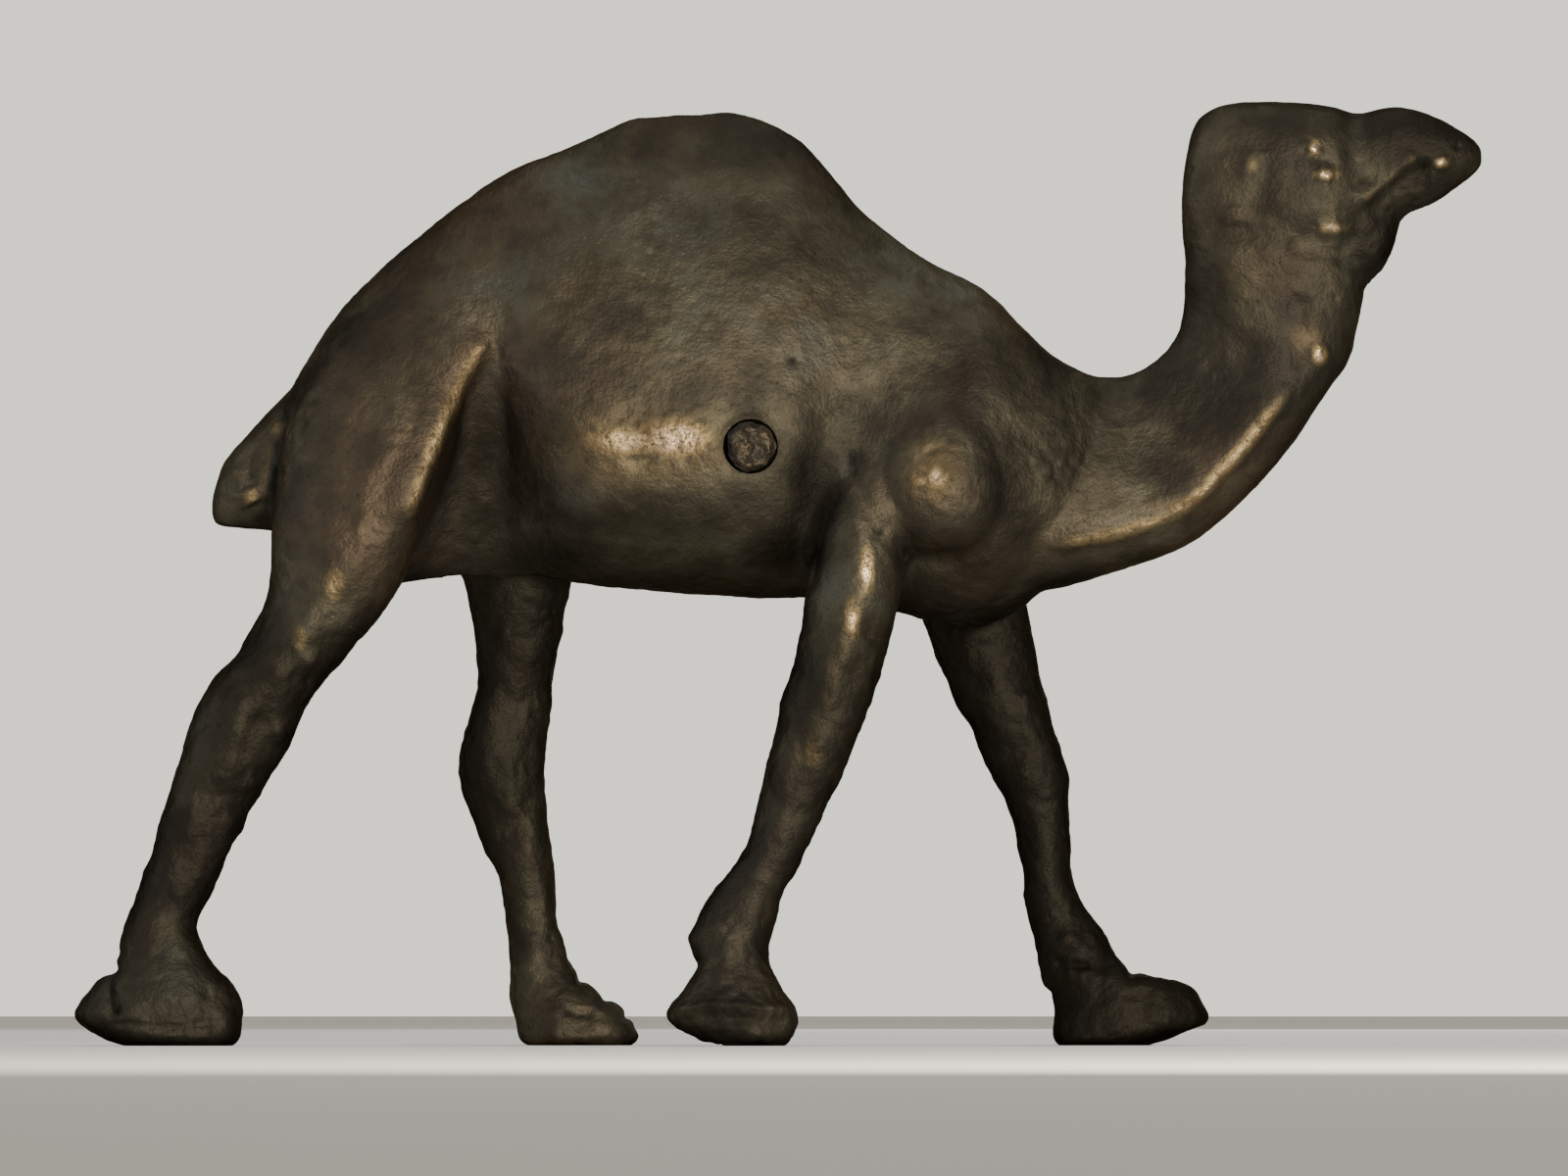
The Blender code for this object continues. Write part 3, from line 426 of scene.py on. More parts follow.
# Strokes at least this high get a band of bright metal along their path, partly wear and partly painted
# highlight.
RAISED = 0.35  # strokes at least this high are rubbed along their path
# Rounds of averaging that hide a crest and a hollow: what is left over is their wear.
CREST_ROUNDS = 24
SWELL_ROUNDS = 110
# The trunk's sections that its core runs through, from the rump to the breast.
CORED = slice(2, 18)
# Round a pin in its bore, and the metal left round and past a bore inside the trunk.
PIN_CLEARANCE = 0.12 * MM
BOSS_WALL = 2.5 * MM
BOSS_EXTRA = 6 * MM
# Boxes beyond the saw cuts. Legs: nearest and farthest from the middle plane, half length
# at the cut, and the lower end. Neck and tail: lower and upper end, depth, half width.
LEG_BOX = (2 * MM, 26 * MM, 13 * MM, -20 * MM)
NECK_BOX = (45 * MM, 125 * MM, 80 * MM, 30 * MM)
TAIL_BOX = (58.6 * MM, 83 * MM, 20 * MM, 5.6 * MM)
PAST_THE_FLANK, PAST_THE_FIGURE = 50 * MM, 300 * MM  # the half spaces' sizes
# Edges sharper than this stay crisp under smooth shading.
SHARP = math.radians(62)
# What every point of the body stores for the metals to read.
MEASURES = ("crest", "swell", "rough", "rubbed", "deep")


def linear(code):
    """The linear colour of an sRGB hex code: each channel's standard transfer curve, undone."""
    srgb = np.array([int(code[i : i + 2], 16) / 255 for i in (1, 3, 5)])
    return tuple(np.where(srgb <= 0.04045, srgb / 12.92, ((srgb + 0.055) / 1.055) ** 2.4))


def hex_property(name, description, code):
    """A colour property whose default is an sRGB hex code."""
    return bpy.props.FloatVectorProperty(
        name=name, description=description, default=linear(code), size=3, subtype="COLOR", min=0.0, max=1.0
    )


def length_property(name, description, default):
    """A length property, in metres."""
    return bpy.props.FloatProperty(name=name, description=description, default=default, unit="LENGTH")


class DromedarySizes(bpy.types.PropertyGroup):
    """How finely and how roughly the figure is cast."""

    voxel: length_property("Voxel", "Edge of the cells in which the body's surfaces are fused", 0.32 * MM)
    softening: bpy.props.IntProperty(
        name="Softening",
        description="Rounds of averaging that melt the fused surfaces together like wax",
        default=22,
    )
    wall: length_property("Wall", "Thickness of the hollow trunk's shells", 2.8 * MM)
    unevenness: length_property("Unevenness", "Height of the broad waves left by hand modelling", 0.13 * MM)
    grain: length_property("Grain", "Height of the sand-cast grain", 0.045 * MM)
    pit_depth: length_property("Pit depth", "Depth of the pits that gas leaves in the casting", 0.22 * MM)
    camera_distance: length_property("Camera distance", "Distance from the camera to the figure", 2.4)
    camera_height: length_property("Camera height", "Height of the camera above the floor", 0.006)


class DromedaryColours(bpy.types.PropertyGroup):
    """Colours of the bronze, its patina, its painted shade and highlights, and the stage."""

    olive: hex_property("Olive patina", "The brown-green skin that covers most of the figure", "#595445")
    umber: hex_property("Umber patina", "The darker brown clouds of the skin", "#38352f")
    bloom: hex_property("Verdigris", "The grey-green bloom in sheltered places", "#4c524f")
    # Also the colour of the painted shade on undersides, between the legs, in the flank pocket and in the
    # folds.
    deep: hex_property("Deep patina", "The black-brown skin that is seldom handled", "#26241f")
    soot: hex_property("Dirt", "What settles in grooves and pits", "#12100c")
    blush: hex_property("Red-brown patina", "The redder brown that clouds part of the skin", "#574b3e")
    # Also the colour of the painted sheen on the barrel and flank.
    copper: hex_property("Rubbed copper", "The reddish metal where handling thins the skin", "#806f50")
    # Also the colour of the painted highlights on the barrel, shoulder, throat, head and legs.
    brass: hex_property("Rubbed bronze", "The pale metal on the most handled crests", "#c3ae92")
    rod: hex_property("Rod bronze", "The drawn rod of the rivet and the dowels", "#463f34")
    pale: hex_property("Floor", "The pale floor", "#e4e1da")
    air: hex_property("Air", "The pale surroundings", "#cfccc2")


def sizes():
    """The scene's settings of size."""
    return bpy.context.scene.dromedary_sizes


def colours():
    """The scene's settings of colour."""
    return bpy.context.scene.dromedary_colours


# Surfaces ---------------------------------------------------------------------------


def curve_through(rows, steps):
    """Points on a smooth curve through the rows: a cubic between each two, whose slope at
    a row is half the step between its neighbours."""
    rows = np.asarray(rows, float)
    place = np.linspace(0, len(rows) - 1, steps)
    i = np.minimum(place.astype(int), len(rows) - 2)
    t = (place - i)[:, None]
    a, b, c, d = (rows[np.clip(i + k, 0, len(rows) - 1)] for k in (-1, 0, 1, 2))
    return b + 0.5 * t * (c - a + t * (2 * a - 5 * b + 4 * c - d + t * (3 * (b - c) + d - a)))


def oval(value, fullness):
    """A cosine or sine raised to 2 / fullness, its sign kept: a superellipse's coordinate."""
    return np.sign(value) * np.abs(value) ** (2 / fullness)


def turns(count):
    """Angles evenly spread over a whole turn, as one row."""
    return np.linspace(0, 2 * math.pi, count, endpoint=False)[None, :]


def unit(vectors):
    """Vectors along the last axis, each brought to length 1."""
    return vectors / np.linalg.norm(vectors, axis=-1, keepdims=True)


def eased(share):
    """3 t^2 - 2 t^3: from 0 to 1 with a level start and end."""
    return share * share * (3 - 2 * share)


def bell(distance, radius):
    """exp(-(distance / radius)^2)."""
    return np.exp(-((distance / radius) ** 2))


def upright_rings(rows, steps=90, sides=64, inset=0.0):
    """Sections square to x. A point at angle u is at y = half * cos u and at a height of
    reach * sin u from the widest level, both bent by the fullness of its half."""
    x, low, high, half, wide, above, below = (c[:, None] for c in curve_through(rows, steps).T)
    u = turns(sides)
    upper = np.sin(u) > 0
    full = np.where(upper, above, below)
    reach = np.where(upper, high - wide, wide - low) - inset
    y = (half - inset) * oval(np.cos(u), full)
    z = wide + reach * oval(np.sin(u), full)
    return np.stack([x + 0 * u, y, z], axis=-1)


def limb_rings(rows, side, steps=120, sides=40):
    """Sections square to a path. At angle u a point lies depth * (cos u + shift * sin^2 u)
    forward of the path and half * sin u outward, both bent by the fullness."""
    x, z, depth, half, out, shift, full = (c[:, None] for c in curve_through(rows, steps).T)
    path = np.concatenate([x, out, z], axis=1)
    along = unit(np.gradient(path, axis=0))
    across = unit(np.array((0.0, 1.0, 0.0)) - along * along[:, 1:2])
    fore = np.cross(along, across)
    u = turns(sides)
    forward = depth * (oval(np.cos(u), full) + shift * np.sin(u) ** 2)
    outward = half * oval(np.sin(u), full)
    rings = path[:, None] + forward[..., None] * fore[:, None] + outward[..., None] * across[:, None]
    return rings * np.array((1.0, side, 1.0))


def foot_rings(rows, out, side):
    """Level sections. A point at angle u lies (front - rear) / 2 * cos u from the middle
    of the foot and half * sin u outward, both bent by the feet's fullness."""
    z, rear, front, half = (c[:, None] for c in curve_through(rows, 48).T)
    u = turns(56)
    x = (rear + front) / 2 + (front - rear) / 2 * oval(np.cos(u), FOOT_FULLNESS)
    y = side * (out + half * oval(np.sin(u), FOOT_FULLNESS))
    return np.stack([x, y, np.maximum(z, 0) + 0 * u], axis=-1)


def lump_rings(row, side):
    """An egg. At latitude v and angle u a point is (cos v cos u, cos v sin u, sin v) times
    the half sizes, narrowed towards the top and then tilted in the side view."""
    x, z, out, length, height, thick, slope, narrow = row
    v = np.linspace(-0.5 * math.pi, 0.5 * math.pi, 24)[1:-1, None]
    u = turns(32)
    taper = 1 - narrow * np.sin(v)
    dx = length * taper * np.cos(v) * np.cos(u)
    dy = thick * taper * np.cos(v) * np.sin(u)
    dz = height * np.sin(v) + 0 * u
    lean = math.radians(slope)
    turned_x = x + dx * math.cos(lean) + dz * math.sin(lean)
    turned_z = z - dx * math.sin(lean) + dz * math.cos(lean)
    return np.stack([turned_x, side * out + dy, turned_z], axis=-1)


def rod_rings(centre, axis, radius, length):
    """A round bar: the circle at each of its ends."""
    axis = unit(axis)
    first = unit(np.cross(axis, (0.0, 1.0, 0.0) if abs(axis[1]) < 0.9 else (1.0, 0.0, 0.0)))
    u = turns(32)[..., None]
    circle = np.cos(u) * first + np.sin(u) * np.cross(axis, first)
    height = np.array((-length / 2, length / 2))[:, None, None]
    return centre + height * axis + radius * circle


def grid_faces(rings, first):
    """The faces of a stack of closed rings with a pole in the middle of each end, and
    those two poles. Point j of ring i has the number i * sides + j, after first."""
    steps, sides, _ = rings.shape
    number = first + np.arange(steps * sides).reshape(steps, sides)
    after = np.roll(number, -1, axis=1)
    quads = np.stack([number[:-1], after[:-1], after[1:], number[1:]], axis=-1).reshape(-1, 4)
    low, high = first + steps * sides, first + steps * sides + 1
    bottom = np.stack([after[0], number[0], np.full(sides, low)], axis=-1)
    top = np.stack([number[-1], after[-1], np.full(sides, high)], axis=-1)
    poles = np.stack([rings[0].mean(axis=0), rings[-1].mean(axis=0)])
    return quads, np.concatenate([bottom, top]), poles


def outward(rings, faces):
    """Whether a stack's faces look outwards: whether the volume under them is positive."""
    points = rings.reshape(-1, 3) - rings.reshape(-1, 3).mean(axis=0)
    a, b, c = (points[faces[:, k] - faces.min()] for k in (0, 1, 2))
    return np.einsum("ij,ij->", a, np.cross(b, c)) > 0


def mesh_of(name, stacks):
    """One mesh object in metres from stacks of rings, each closed and facing outwards."""
    points, faces, first = [], [], 0
    for rings in stacks:
        quads, tris, poles = grid_faces(rings, first)
        if not outward(rings, quads):
            quads, tris = quads[:, ::-1], tris[:, ::-1]
        points += [rings.reshape(-1, 3), poles]
        faces += quads.tolist() + tris.tolist()
        first += rings.shape[0] * rings.shape[1] + 2
    mesh = bpy.data.meshes.new(name)
    mesh.from_pydata(np.concatenate(points), [], faces)
    made = bpy.data.objects.new(name, mesh)
    bpy.context.scene.collection.objects.link(made)
    return made


def figure_scale(rings):
    """From the drawings' millimetres to the frame's metres."""
    return rings * SCALE * MM


# Relief -----------------------------------------------------------------------------


def lottery(cells, seed):
    """A number from 0 to 1 for each whole-numbered cell: its coordinates times large
    primes, scrambled by shifts."""
    x, y, z = (cells[..., k].astype(np.int64).astype(np.uint32) for k in range(3))
    mixed = x * np.uint32(374761393) + y * np.uint32(668265263) + z * np.uint32(2246822519)
    mixed = mixed + np.uint32(seed * 3266489 + 97)
    mixed = (mixed ^ (mixed >> np.uint32(13))) * np.uint32(1274126177)
    mixed = (mixed ^ (mixed >> np.uint32(15))) * np.uint32(2654435761)
    return (mixed ^ (mixed >> np.uint32(16))).astype(float) / 2**32


def waves(points, size, seed):
    """Smooth noise from -1 to 1: a lattice of random heights that is size apart, blended
    between its corners by 3 t^2 - 2 t^3."""
    place = points / size
    cell = np.floor(place)
    t = eased(place - cell)
    total = np.zeros(len(points))
    for corner in np.ndindex(2, 2, 2):
        corner = np.array(corner)
        weight = np.where(corner, t, 1 - t).prod(axis=1)
        total += weight * (lottery(cell + corner, seed) * 2 - 1)
    return total


def pits(points, cell_size, radius, share, seed):
    """Round pits from 0 to 1: in a share of the cells one point, and round it a bell whose
    radius is half to one and a half times the given one."""
    place = points / cell_size
    cell = np.floor(place)
    deepest = np.zeros(len(points))
    for step in np.ndindex(3, 3, 3):
        near = cell + np.array(step) - 1
        centre = near + np.stack([lottery(near, seed + k) for k in (1, 2, 3)], axis=1)
        distance = np.linalg.norm(place - centre, axis=1) * cell_size
        width = radius * (0.5 + lottery(near, seed + 4))
        deepest = np.maximum(deepest, bell(distance, width) * (lottery(near, seed) < share))
    return deepest


def nearest_on(points, path):
    """For side-view points: the distance to a path, the sine of the angle by which they
    lie to its left, and the share of the path's length at the nearest place."""
    path = np.asarray(path, float)
    if len(path) == 1:
        return np.linalg.norm(points - path[0], axis=1), np.zeros(len(points)), np.full(len(points), 0.5)
    lengths = np.linalg.norm(np.diff(path, axis=0), axis=1)
    starts = np.concatenate([[0.0], np.cumsum(lengths)])
    distance, left, share = np.full(len(points), np.inf), np.zeros(len(points)), np.zeros(len(points))
    for i, (start, end) in enumerate(zip(path, path[1:])):
        along = (end - start) / lengths[i]
        reach = np.clip((points - start) @ along, 0, lengths[i])
        gap = points - start - reach[:, None] * along
        here = np.linalg.norm(gap, axis=1)
        nearer = here < distance
        distance[nearer] = here[nearer]
        turned = along[0] * gap[nearer, 1] - along[1] * gap[nearer, 0]
        left[nearer] = turned / np.maximum(here[nearer], 1e-9)
        share[nearer] = (starts[i] + reach[nearer]) / starts[-1]
    return distance, left, share


def touched(faces, drawn, normals):
    """How far skin belongs to the faces that a stroke, or a patch of wear and painted highlight, touches,
    from 0 to 1. It fades out where the skin turns edge on to the side view."""
    if faces == "all":
        return np.ones(len(drawn))
    if faces == "outer":
        return np.clip(np.abs(normals[:, 1]) / 0.25, 0, 1) * (normals[:, 1] * drawn[:, 1] > -0.1)
    side = -1 if faces == "right" else 1
    return np.clip(normals[:, 1] * side / 0.25, 0, 1) * (drawn[:, 1] * side > -3)


def beside(path, side_view, margin):
    """Which side-view points lie within margin of the box round a path's smooth curve, and
    for those what nearest_on gives."""
    path = curve_through(path, 4 * len(path)) if len(path) > 1 else np.array(path)
    inside = (side_view > path.min(axis=0) - margin) & (side_view < path.max(axis=0) + margin)
    near = np.nonzero(inside.all(axis=1))[0]
    return near, *nearest_on(side_view[near], path)


def relief_of_strokes(drawn, normals):
    """Height of the tool strokes: each is its height times a bell, whose radius turns from
    the left one to the right one round the path, faded in and out over the first and last
    eighth of its length."""
    height = np.zeros(len(drawn))
    wander = 0.22 * np.stack([waves(drawn, 2.6, 41), waves(drawn, 2.6, 42)], axis=1)
    side_view = drawn[:, (0, 2)] + wander
    for faces, rise, left_radius, right_radius, path in STROKES:
        margin = 3 * max(left_radius, right_radius)
        near, distance, left, share = beside(path, side_view, margin)
        radius = left_radius * (1 + left) / 2 + right_radius * (1 - left) / 2
        fade = eased(np.clip(8 * np.minimum(share, 1 - share), 0, 1))
        height[near] += rise * fade * touched(faces, drawn[near], normals[near]) * bell(distance, radius)
    return height


def ovals(side_view, rows):
    """For each row its strength times a bell of the distance from the oval's middle in half
    lengths and half heights, with the row's first entries and the points near it."""
    for *entries, x, z, length, height, strength in rows:
        r = np.hypot((side_view[:, 0] - x) / length, (side_view[:, 1] - z) / height)
        near = np.nonzero(r < 2.5)[0]
        yield entries, near, strength * bell(r[near], 1)


def rubbing_and_highlights(drawn, normals, crest):
    """How much bright metal each place gets, from hands and as painted highlights and sheen: the ovals of
    the table, a band along every raised stroke, and all that stands up a little, less so under the painted
    shade."""
    most = 0.30 * np.clip(crest / 3.0, 0, 1)
    side_view = drawn[:, (0, 2)]
    for (faces,), near, wear_and_highlight in ovals(side_view, RUBBED_AND_HIGHLIGHTS):
        most[near] = np.maximum(most[near], wear_and_highlight * touched(faces, drawn[near], normals[near]))
    for faces, rise, left_radius, right_radius, path in STROKES:
        if rise >= RAISED and len(path) > 1:
            radius = 0.5 * min(left_radius, right_radius) + 0.35
            near, distance, _, share = beside(path, side_view, 3 * radius)
            fade = np.clip(5 * np.minimum(share, 1 - share), 0, 1) * min(0.85 * rise, 0.6)
            wear_and_highlight = fade * bell(distance, radius) * touched(faces, drawn[near], normals[near])
            most[near] = np.maximum(most[near], wear_and_highlight)
    # Less bright metal under the painted shade.
    return most * (1 - 0.8 * painted_shade_under_and_between(drawn, normals))


def patina_clouds_and_painted_shade(drawn, normals):
    """How dark the skin is made: painted shade on undersides and between the legs, and the clouds of darker
    patina and painted shade.
    """
    deepest = painted_shade_under_and_between(drawn, normals)
    for _, near, strength in ovals(drawn[:, (0, 2)], PATINA_CLOUDS_AND_PAINTED_SHADE):
        less = deepest[near] + np.minimum(strength, 0)
        deepest[near] = np.clip(np.maximum(less, strength), 0, 1)
    return deepest


def links_of(mesh):
    """Every edge both ways: the points that it leaves and the points that it reaches."""
    pairs = np.empty(len(mesh.edges) * 2, np.int32)
    mesh.edges.foreach_get("vertices", pairs)
    pairs = pairs.reshape(-1, 2)
    return np.concatenate([pairs, pairs[:, ::-1]]).T


def averaged(values, links, rounds):
    """Each point moved halfway to the mean of its neighbours, over and over."""
    count = len(values)
    ends, others = links
    valence = np.maximum(np.bincount(ends, minlength=count), 1)[:, None]
    for _ in range(rounds):
        columns = [np.bincount(ends, weights=c[others], minlength=count) for c in values.T]
        values = values + 0.5 * (np.stack(columns, axis=1) / valence - values)
    return values


def points_of(mesh, what="co", collection="vertices"):
    """A mesh's points, or another three numbers that one of its collections holds."""
    held = getattr(mesh, collection)
    flat = np.empty(len(held) * 3, np.float32)
    held.foreach_get(what, flat)
    return flat.reshape(-1, 3).astype(float)


def set_points(mesh, points):
    mesh.vertices.foreach_set("co", points.astype(np.float32).ravel())
    mesh.update()


def normals_of(mesh):
    return points_of(mesh, "vector", "vertex_normals")


def put_attribute(mesh, name, values):
    held = mesh.attributes.get(name) or mesh.attributes.new(name, "FLOAT", "POINT")
    held.data.foreach_set("value", values.astype(np.float32))


def attribute(mesh, name):
    values = np.empty(len(mesh.vertices), np.float32)
    mesh.attributes[name].data.foreach_get("value", values)
    return values.astype(float)


# The body ---------------------------------------------------------------------------


def body_stacks():
    """Every surface of the figure, brought from the drawings to the frame's size."""
    stacks = [upright_rings(TRUNK), upright_rings(HEAD, 80, 56)]
    stacks += [limb_rings(NECK, 1, 90, 56), limb_rings(TAIL, 1, 50, 40)]
    for rows, foot, side in (
        (HIND_RIGHT, FOOT_HIND_RIGHT, -1),
        (HIND_LEFT, FOOT_HIND_LEFT, 1),
        (FORE_RIGHT, FOOT_FORE_RIGHT, -1),
        (FORE_LEFT, FOOT_FORE_LEFT, 1),
    ):
        stacks += [limb_rings(rows, side), foot_rings(foot, rows[-1][4], side)]
    for row in LUMPS:
        stacks += [lump_rings(row, side) for side in ((-1, 1) if row[2] else (1,))]
    return [figure_scale(stack) for stack in stacks]


def roughness_map(drawn):
    """1 inside the rough patches, fading out past their radius."""
    worst = np.zeros(len(drawn))
    for x, z, radius in ROUGH_PATCHES:
        worst = np.maximum(worst, bell(np.hypot(drawn[:, 0] - x, drawn[:, 2] - z), radius))
    return worst


def under_level(drawn, level, drop_by):
    """From 0 at a level to 1 where the figure lies drop_by or more under it."""
    return np.clip((level - drawn[:, 2]) / drop_by, 0, 1)


def painted_shade_under_and_between(drawn, normals):
    """Painted shade, from 0 to 1: most on undersides, on faces turned to the middle plane and on the legs
    below the belly."""
    under = np.clip(-normals[:, 2], 0, 1)
    inner = np.clip(-normals[:, 1] * np.sign(drawn[:, 1]), 0, 1) * (np.abs(drawn[:, 1]) > 3)
    low = under_level(drawn, 58, 18)
    return np.clip(0.50 * under + 0.5 * inner + 0.62 * eased(low), 0, 1)


def casting_relief(drawn, rough):
    """Height of the uneven, grained and pitted skin, in metres."""
    made = sizes()
    limbs = under_level(drawn, 56, 12)
    height = made.unevenness * (waves(drawn, 7.0, 1) + (0.5 + 1.9 * limbs) * waves(drawn, 2.8, 2))
    grain = waves(drawn, 0.95, 3) + 0.6 * waves(drawn, 0.62, 4)
    height += made.grain * (1 + 0.8 * limbs + 2.2 * rough) * grain
    height -= made.pit_depth * pits(drawn, 3.4, 0.30, 0.16, 10)
    height -= made.pit_depth * 1.6 * rough * pits(drawn, 1.5, 0.40, 0.6, 20)
    return height


@lru_cache(maxsize=1)
def body():
    """The whole figure as one closed mesh with its wear, its painted highlights and shade, and its hollows
    measured. Its soles are pressed flat: no point lies under the floor."""
    made = mesh_of("whole_body", body_stacks())
    made.data.remesh_voxel_size = sizes().voxel
    with bpy.context.temp_override(active_object=made, object=made, selected_objects=[made]):
        bpy.ops.object.voxel_remesh()
    mesh = made.data
    links = links_of(mesh)
    set_points(mesh, averaged(points_of(mesh), links, sizes().softening))
    normals = normals_of(mesh)
    drawn = points_of(mesh) / (SCALE * MM)
    set_points(mesh, points_of(mesh) + normals * (relief_of_strokes(drawn, normals) * MM)[:, None])
    set_points(mesh, averaged(points_of(mesh), links, 1))
    measure_wear(mesh, links)
    # Bright metal: wear from hands, and painted highlights and sheen.
    put_attribute(mesh, "rubbed", rubbing_and_highlights(drawn, normals, attribute(mesh, "crest")))
    # Painted shade and darker patina clouds.
    put_attribute(mesh, "deep", patina_clouds_and_painted_shade(drawn, normals_of(mesh)))
    rough = roughness_map(drawn)
    points = points_of(mesh) + normals_of(mesh) * casting_relief(drawn, rough)[:, None]
    points[:, 2] = np.maximum(points[:, 2], 0.0)
    set_points(mesh, points)
    put_attribute(mesh, "rough", rough)
    put_attribute(mesh, "whole", np.ones(len(mesh.vertices)))
    return made


def measure_wear(mesh, links):
    """Stores how far each point stands above the averaged skin round it, in tenths of a
    millimetre: tightly for crests that hands rub, widely for hollows that hold dirt."""
    points, normals = points_of(mesh), normals_of(mesh)
    tight = averaged(points, links, CREST_ROUNDS)
    wide = averaged(tight, links, SWELL_ROUNDS)
    for name, round_it in (("crest", tight), ("swell", wide)):
        put_attribute(mesh, name, np.einsum("ij,ij->i", points - round_it, normals) / (0.1 * MM))


# Sawing -----------------------------------------------------------------------------


def pin_of(node):
    """Centre, axis, radius and length of a round node, from the spread of its points."""
    points = points_of(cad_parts[node].data)
    centre = (points.max(axis=0) + points.min(axis=0)) / 2
    axis = np.linalg.svd(points - points.mean(axis=0), full_matrices=False)[2][0]
    reach = (points - centre) @ axis
    radius = np.linalg.norm(points - centre - reach[:, None] * axis, axis=1).max()
    return centre, axis, radius, reach.max() - reach.min()


def bore(node):
    """A cutter for the hole that a round node sits in."""
    centre, axis, radius, length = pin_of(node)
    rings = rod_rings(centre, axis, radius + PIN_CLEARANCE, length + 2 * PIN_CLEARANCE)
    return mesh_of("bore_" + node, [rings])


def block(name, corners):
    """A closed box from the four corners of its first face and of the face across it."""
    return mesh_of(name, [np.array(corners, float)])


def leg_region(name):
    """Everything under a leg's saw cut: its upper face lies in the plane that is square to
    the dowel through the dowel's middle."""
    centre, axis, _, _ = pin_of("dowel_" + name)
    side = math.copysign(1, centre[1])
    near, far, reach, low = LEG_BOX
    near, far = side * near, side * far
    top = []
    for x, y in ((-reach, near), (reach, near), (reach, far), (-reach, far)):
        drop = (x * axis[0] + (y - centre[1]) * axis[1]) / axis[2]
        top.append((centre[0] + x, y, centre[2] - drop))
    left, right = centre[0] - 4 * reach, centre[0] + 4 * reach
    bottom = [(x, y, low) for x, y in ((left, near), (right, near), (right, far), (left, far))]
    return block("region_" + name, [top, bottom])


def beyond_plane(name, centre, normal, low, high, depth, half_width):
    """A box behind a plane that leans in the side view, between two levels."""
    face, back = [], []
    for y, z in ((-half_width, low), (half_width, low), (half_width, high), (-half_width, high)):
        x = centre[0] - (z - centre[2]) * normal[2] / normal[0]
        face.append((x, y, z))
        back.append((x + math.copysign(depth, normal[0]), y, z))
    return block(name, [face, back])


def neck_region():
    """Everything in front of the neck's saw cut."""
    centre, axis, _, _ = pin_of("dowel_neck")
    return beyond_plane("region_neck", centre, axis, *NECK_BOX)


def tail_region():
    """Everything behind the tail's saw cut."""
    centre, axis, _, _ = pin_of("dowel_tail")
    return beyond_plane("region_tail", centre, axis, *TAIL_BOX)


def carved(source, name, *steps):
    """A new object: source after Booleans, each step being an operation and a cutter."""
    made = bpy.data.objects.new(name, source.data)
    bpy.context.scene.collection.objects.link(made)
    for operation, cutter in steps:
        cut = made.modifiers.new(cutter.name, "BOOLEAN")
        cut.operation = operation
        cut.object = cutter
        cut.solver = "MANIFOLD"
    graph = bpy.context.evaluated_depsgraph_get()
    mesh = bpy.data.meshes.new_from_object(made.evaluated_get(graph))
    if not len(mesh.polygons):
        raise RuntimeError(f"{name} came out empty")
    mesh.name = name
    made.modifiers.clear()
    made.data = mesh
    return made


def heal(mesh):
    """Gives each point that a cut has made the mean of its older neighbours' measures."""
    ends, others = links_of(mesh)
    old = attribute(mesh, "whole") > 0.999
    use = old[others]
    count = np.maximum(np.bincount(ends[use], minlength=len(old)), 1)
    for name in MEASURES:
        values = attribute(mesh, name)
        mean = np.bincount(ends[use], weights=values[others[use]], minlength=len(old)) / count
        put_attribute(mesh, name, np.where(old, values, mean))


def finish_piece(made, finish, node):
    """Shades a piece, gives it its metal and ties it to the frame."""
    mesh = made.data
    mesh.materials.clear()
    mesh.materials.append(finish)
    mesh.shade_smooth()
    mesh.set_sharp_from_angle(angle=SHARP)
    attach(made, "root")
    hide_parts(node)


def cast_piece(name, slot, node, *steps):
    """A piece sawn out of the body by Booleans."""
    made = carved(body(), name, *steps)
    heal(made.data)
    finish_piece(made, patinated_cast_bronze(), node)


def limb_piece(name, slot, node, region, dowel):
    """A piece cut off at its saw cut, with a bore for its dowel."""
    hole = bore(dowel)
    cast_piece(name, slot, node, ("INTERSECT", region), ("DIFFERENCE", hole))
    drop(region, hole)


def drop(*helpers):
    for helper in helpers:
        bpy.data.objects.remove(helper)


# Metals -----------------------------------------------------------------------------


def add_node(tree, kind, inputs=None, **settings):
    """Adds a shader node, sets it up, and sets or links its inputs by name or number."""
    node = tree.nodes.new(kind)
    for key, value in settings.items():
        setattr(node, key, value)
    for key, value in (inputs or {}).items():
        if isinstance(value, bpy.types.NodeSocket):
            tree.links.new(value, node.inputs[key])
        else:
            node.inputs[key].default_value = value
    return node


def new_material(name):
    made = bpy.data.materials.new(name)
    made.use_nodes = True
    return made, made.node_tree, made.node_tree.nodes["Principled BSDF"]


def rgba(colour):
    return (*colour, 1.0)


def measured(tree, noises, attributes):
    """The numbers a material's layers can be laid by: noises on object coordinates, each
    with its size in millimetres, detail and roughness, and what the pieces store."""
    place = add_node(tree, "ShaderNodeTexCoord").outputs["Object"]
    held = {}
    for name, size, detail, roughness in noises:
        inputs = {"Vector": place, "Scale": 1 / (size * MM), "Detail": detail, "Roughness": roughness}
        held[name] = add_node(tree, "ShaderNodeTexNoise", inputs).outputs["Fac"]
    for name in attributes:
        held[name] = add_node(tree, "ShaderNodeAttribute", attribute_name=name).outputs["Fac"]
    return held


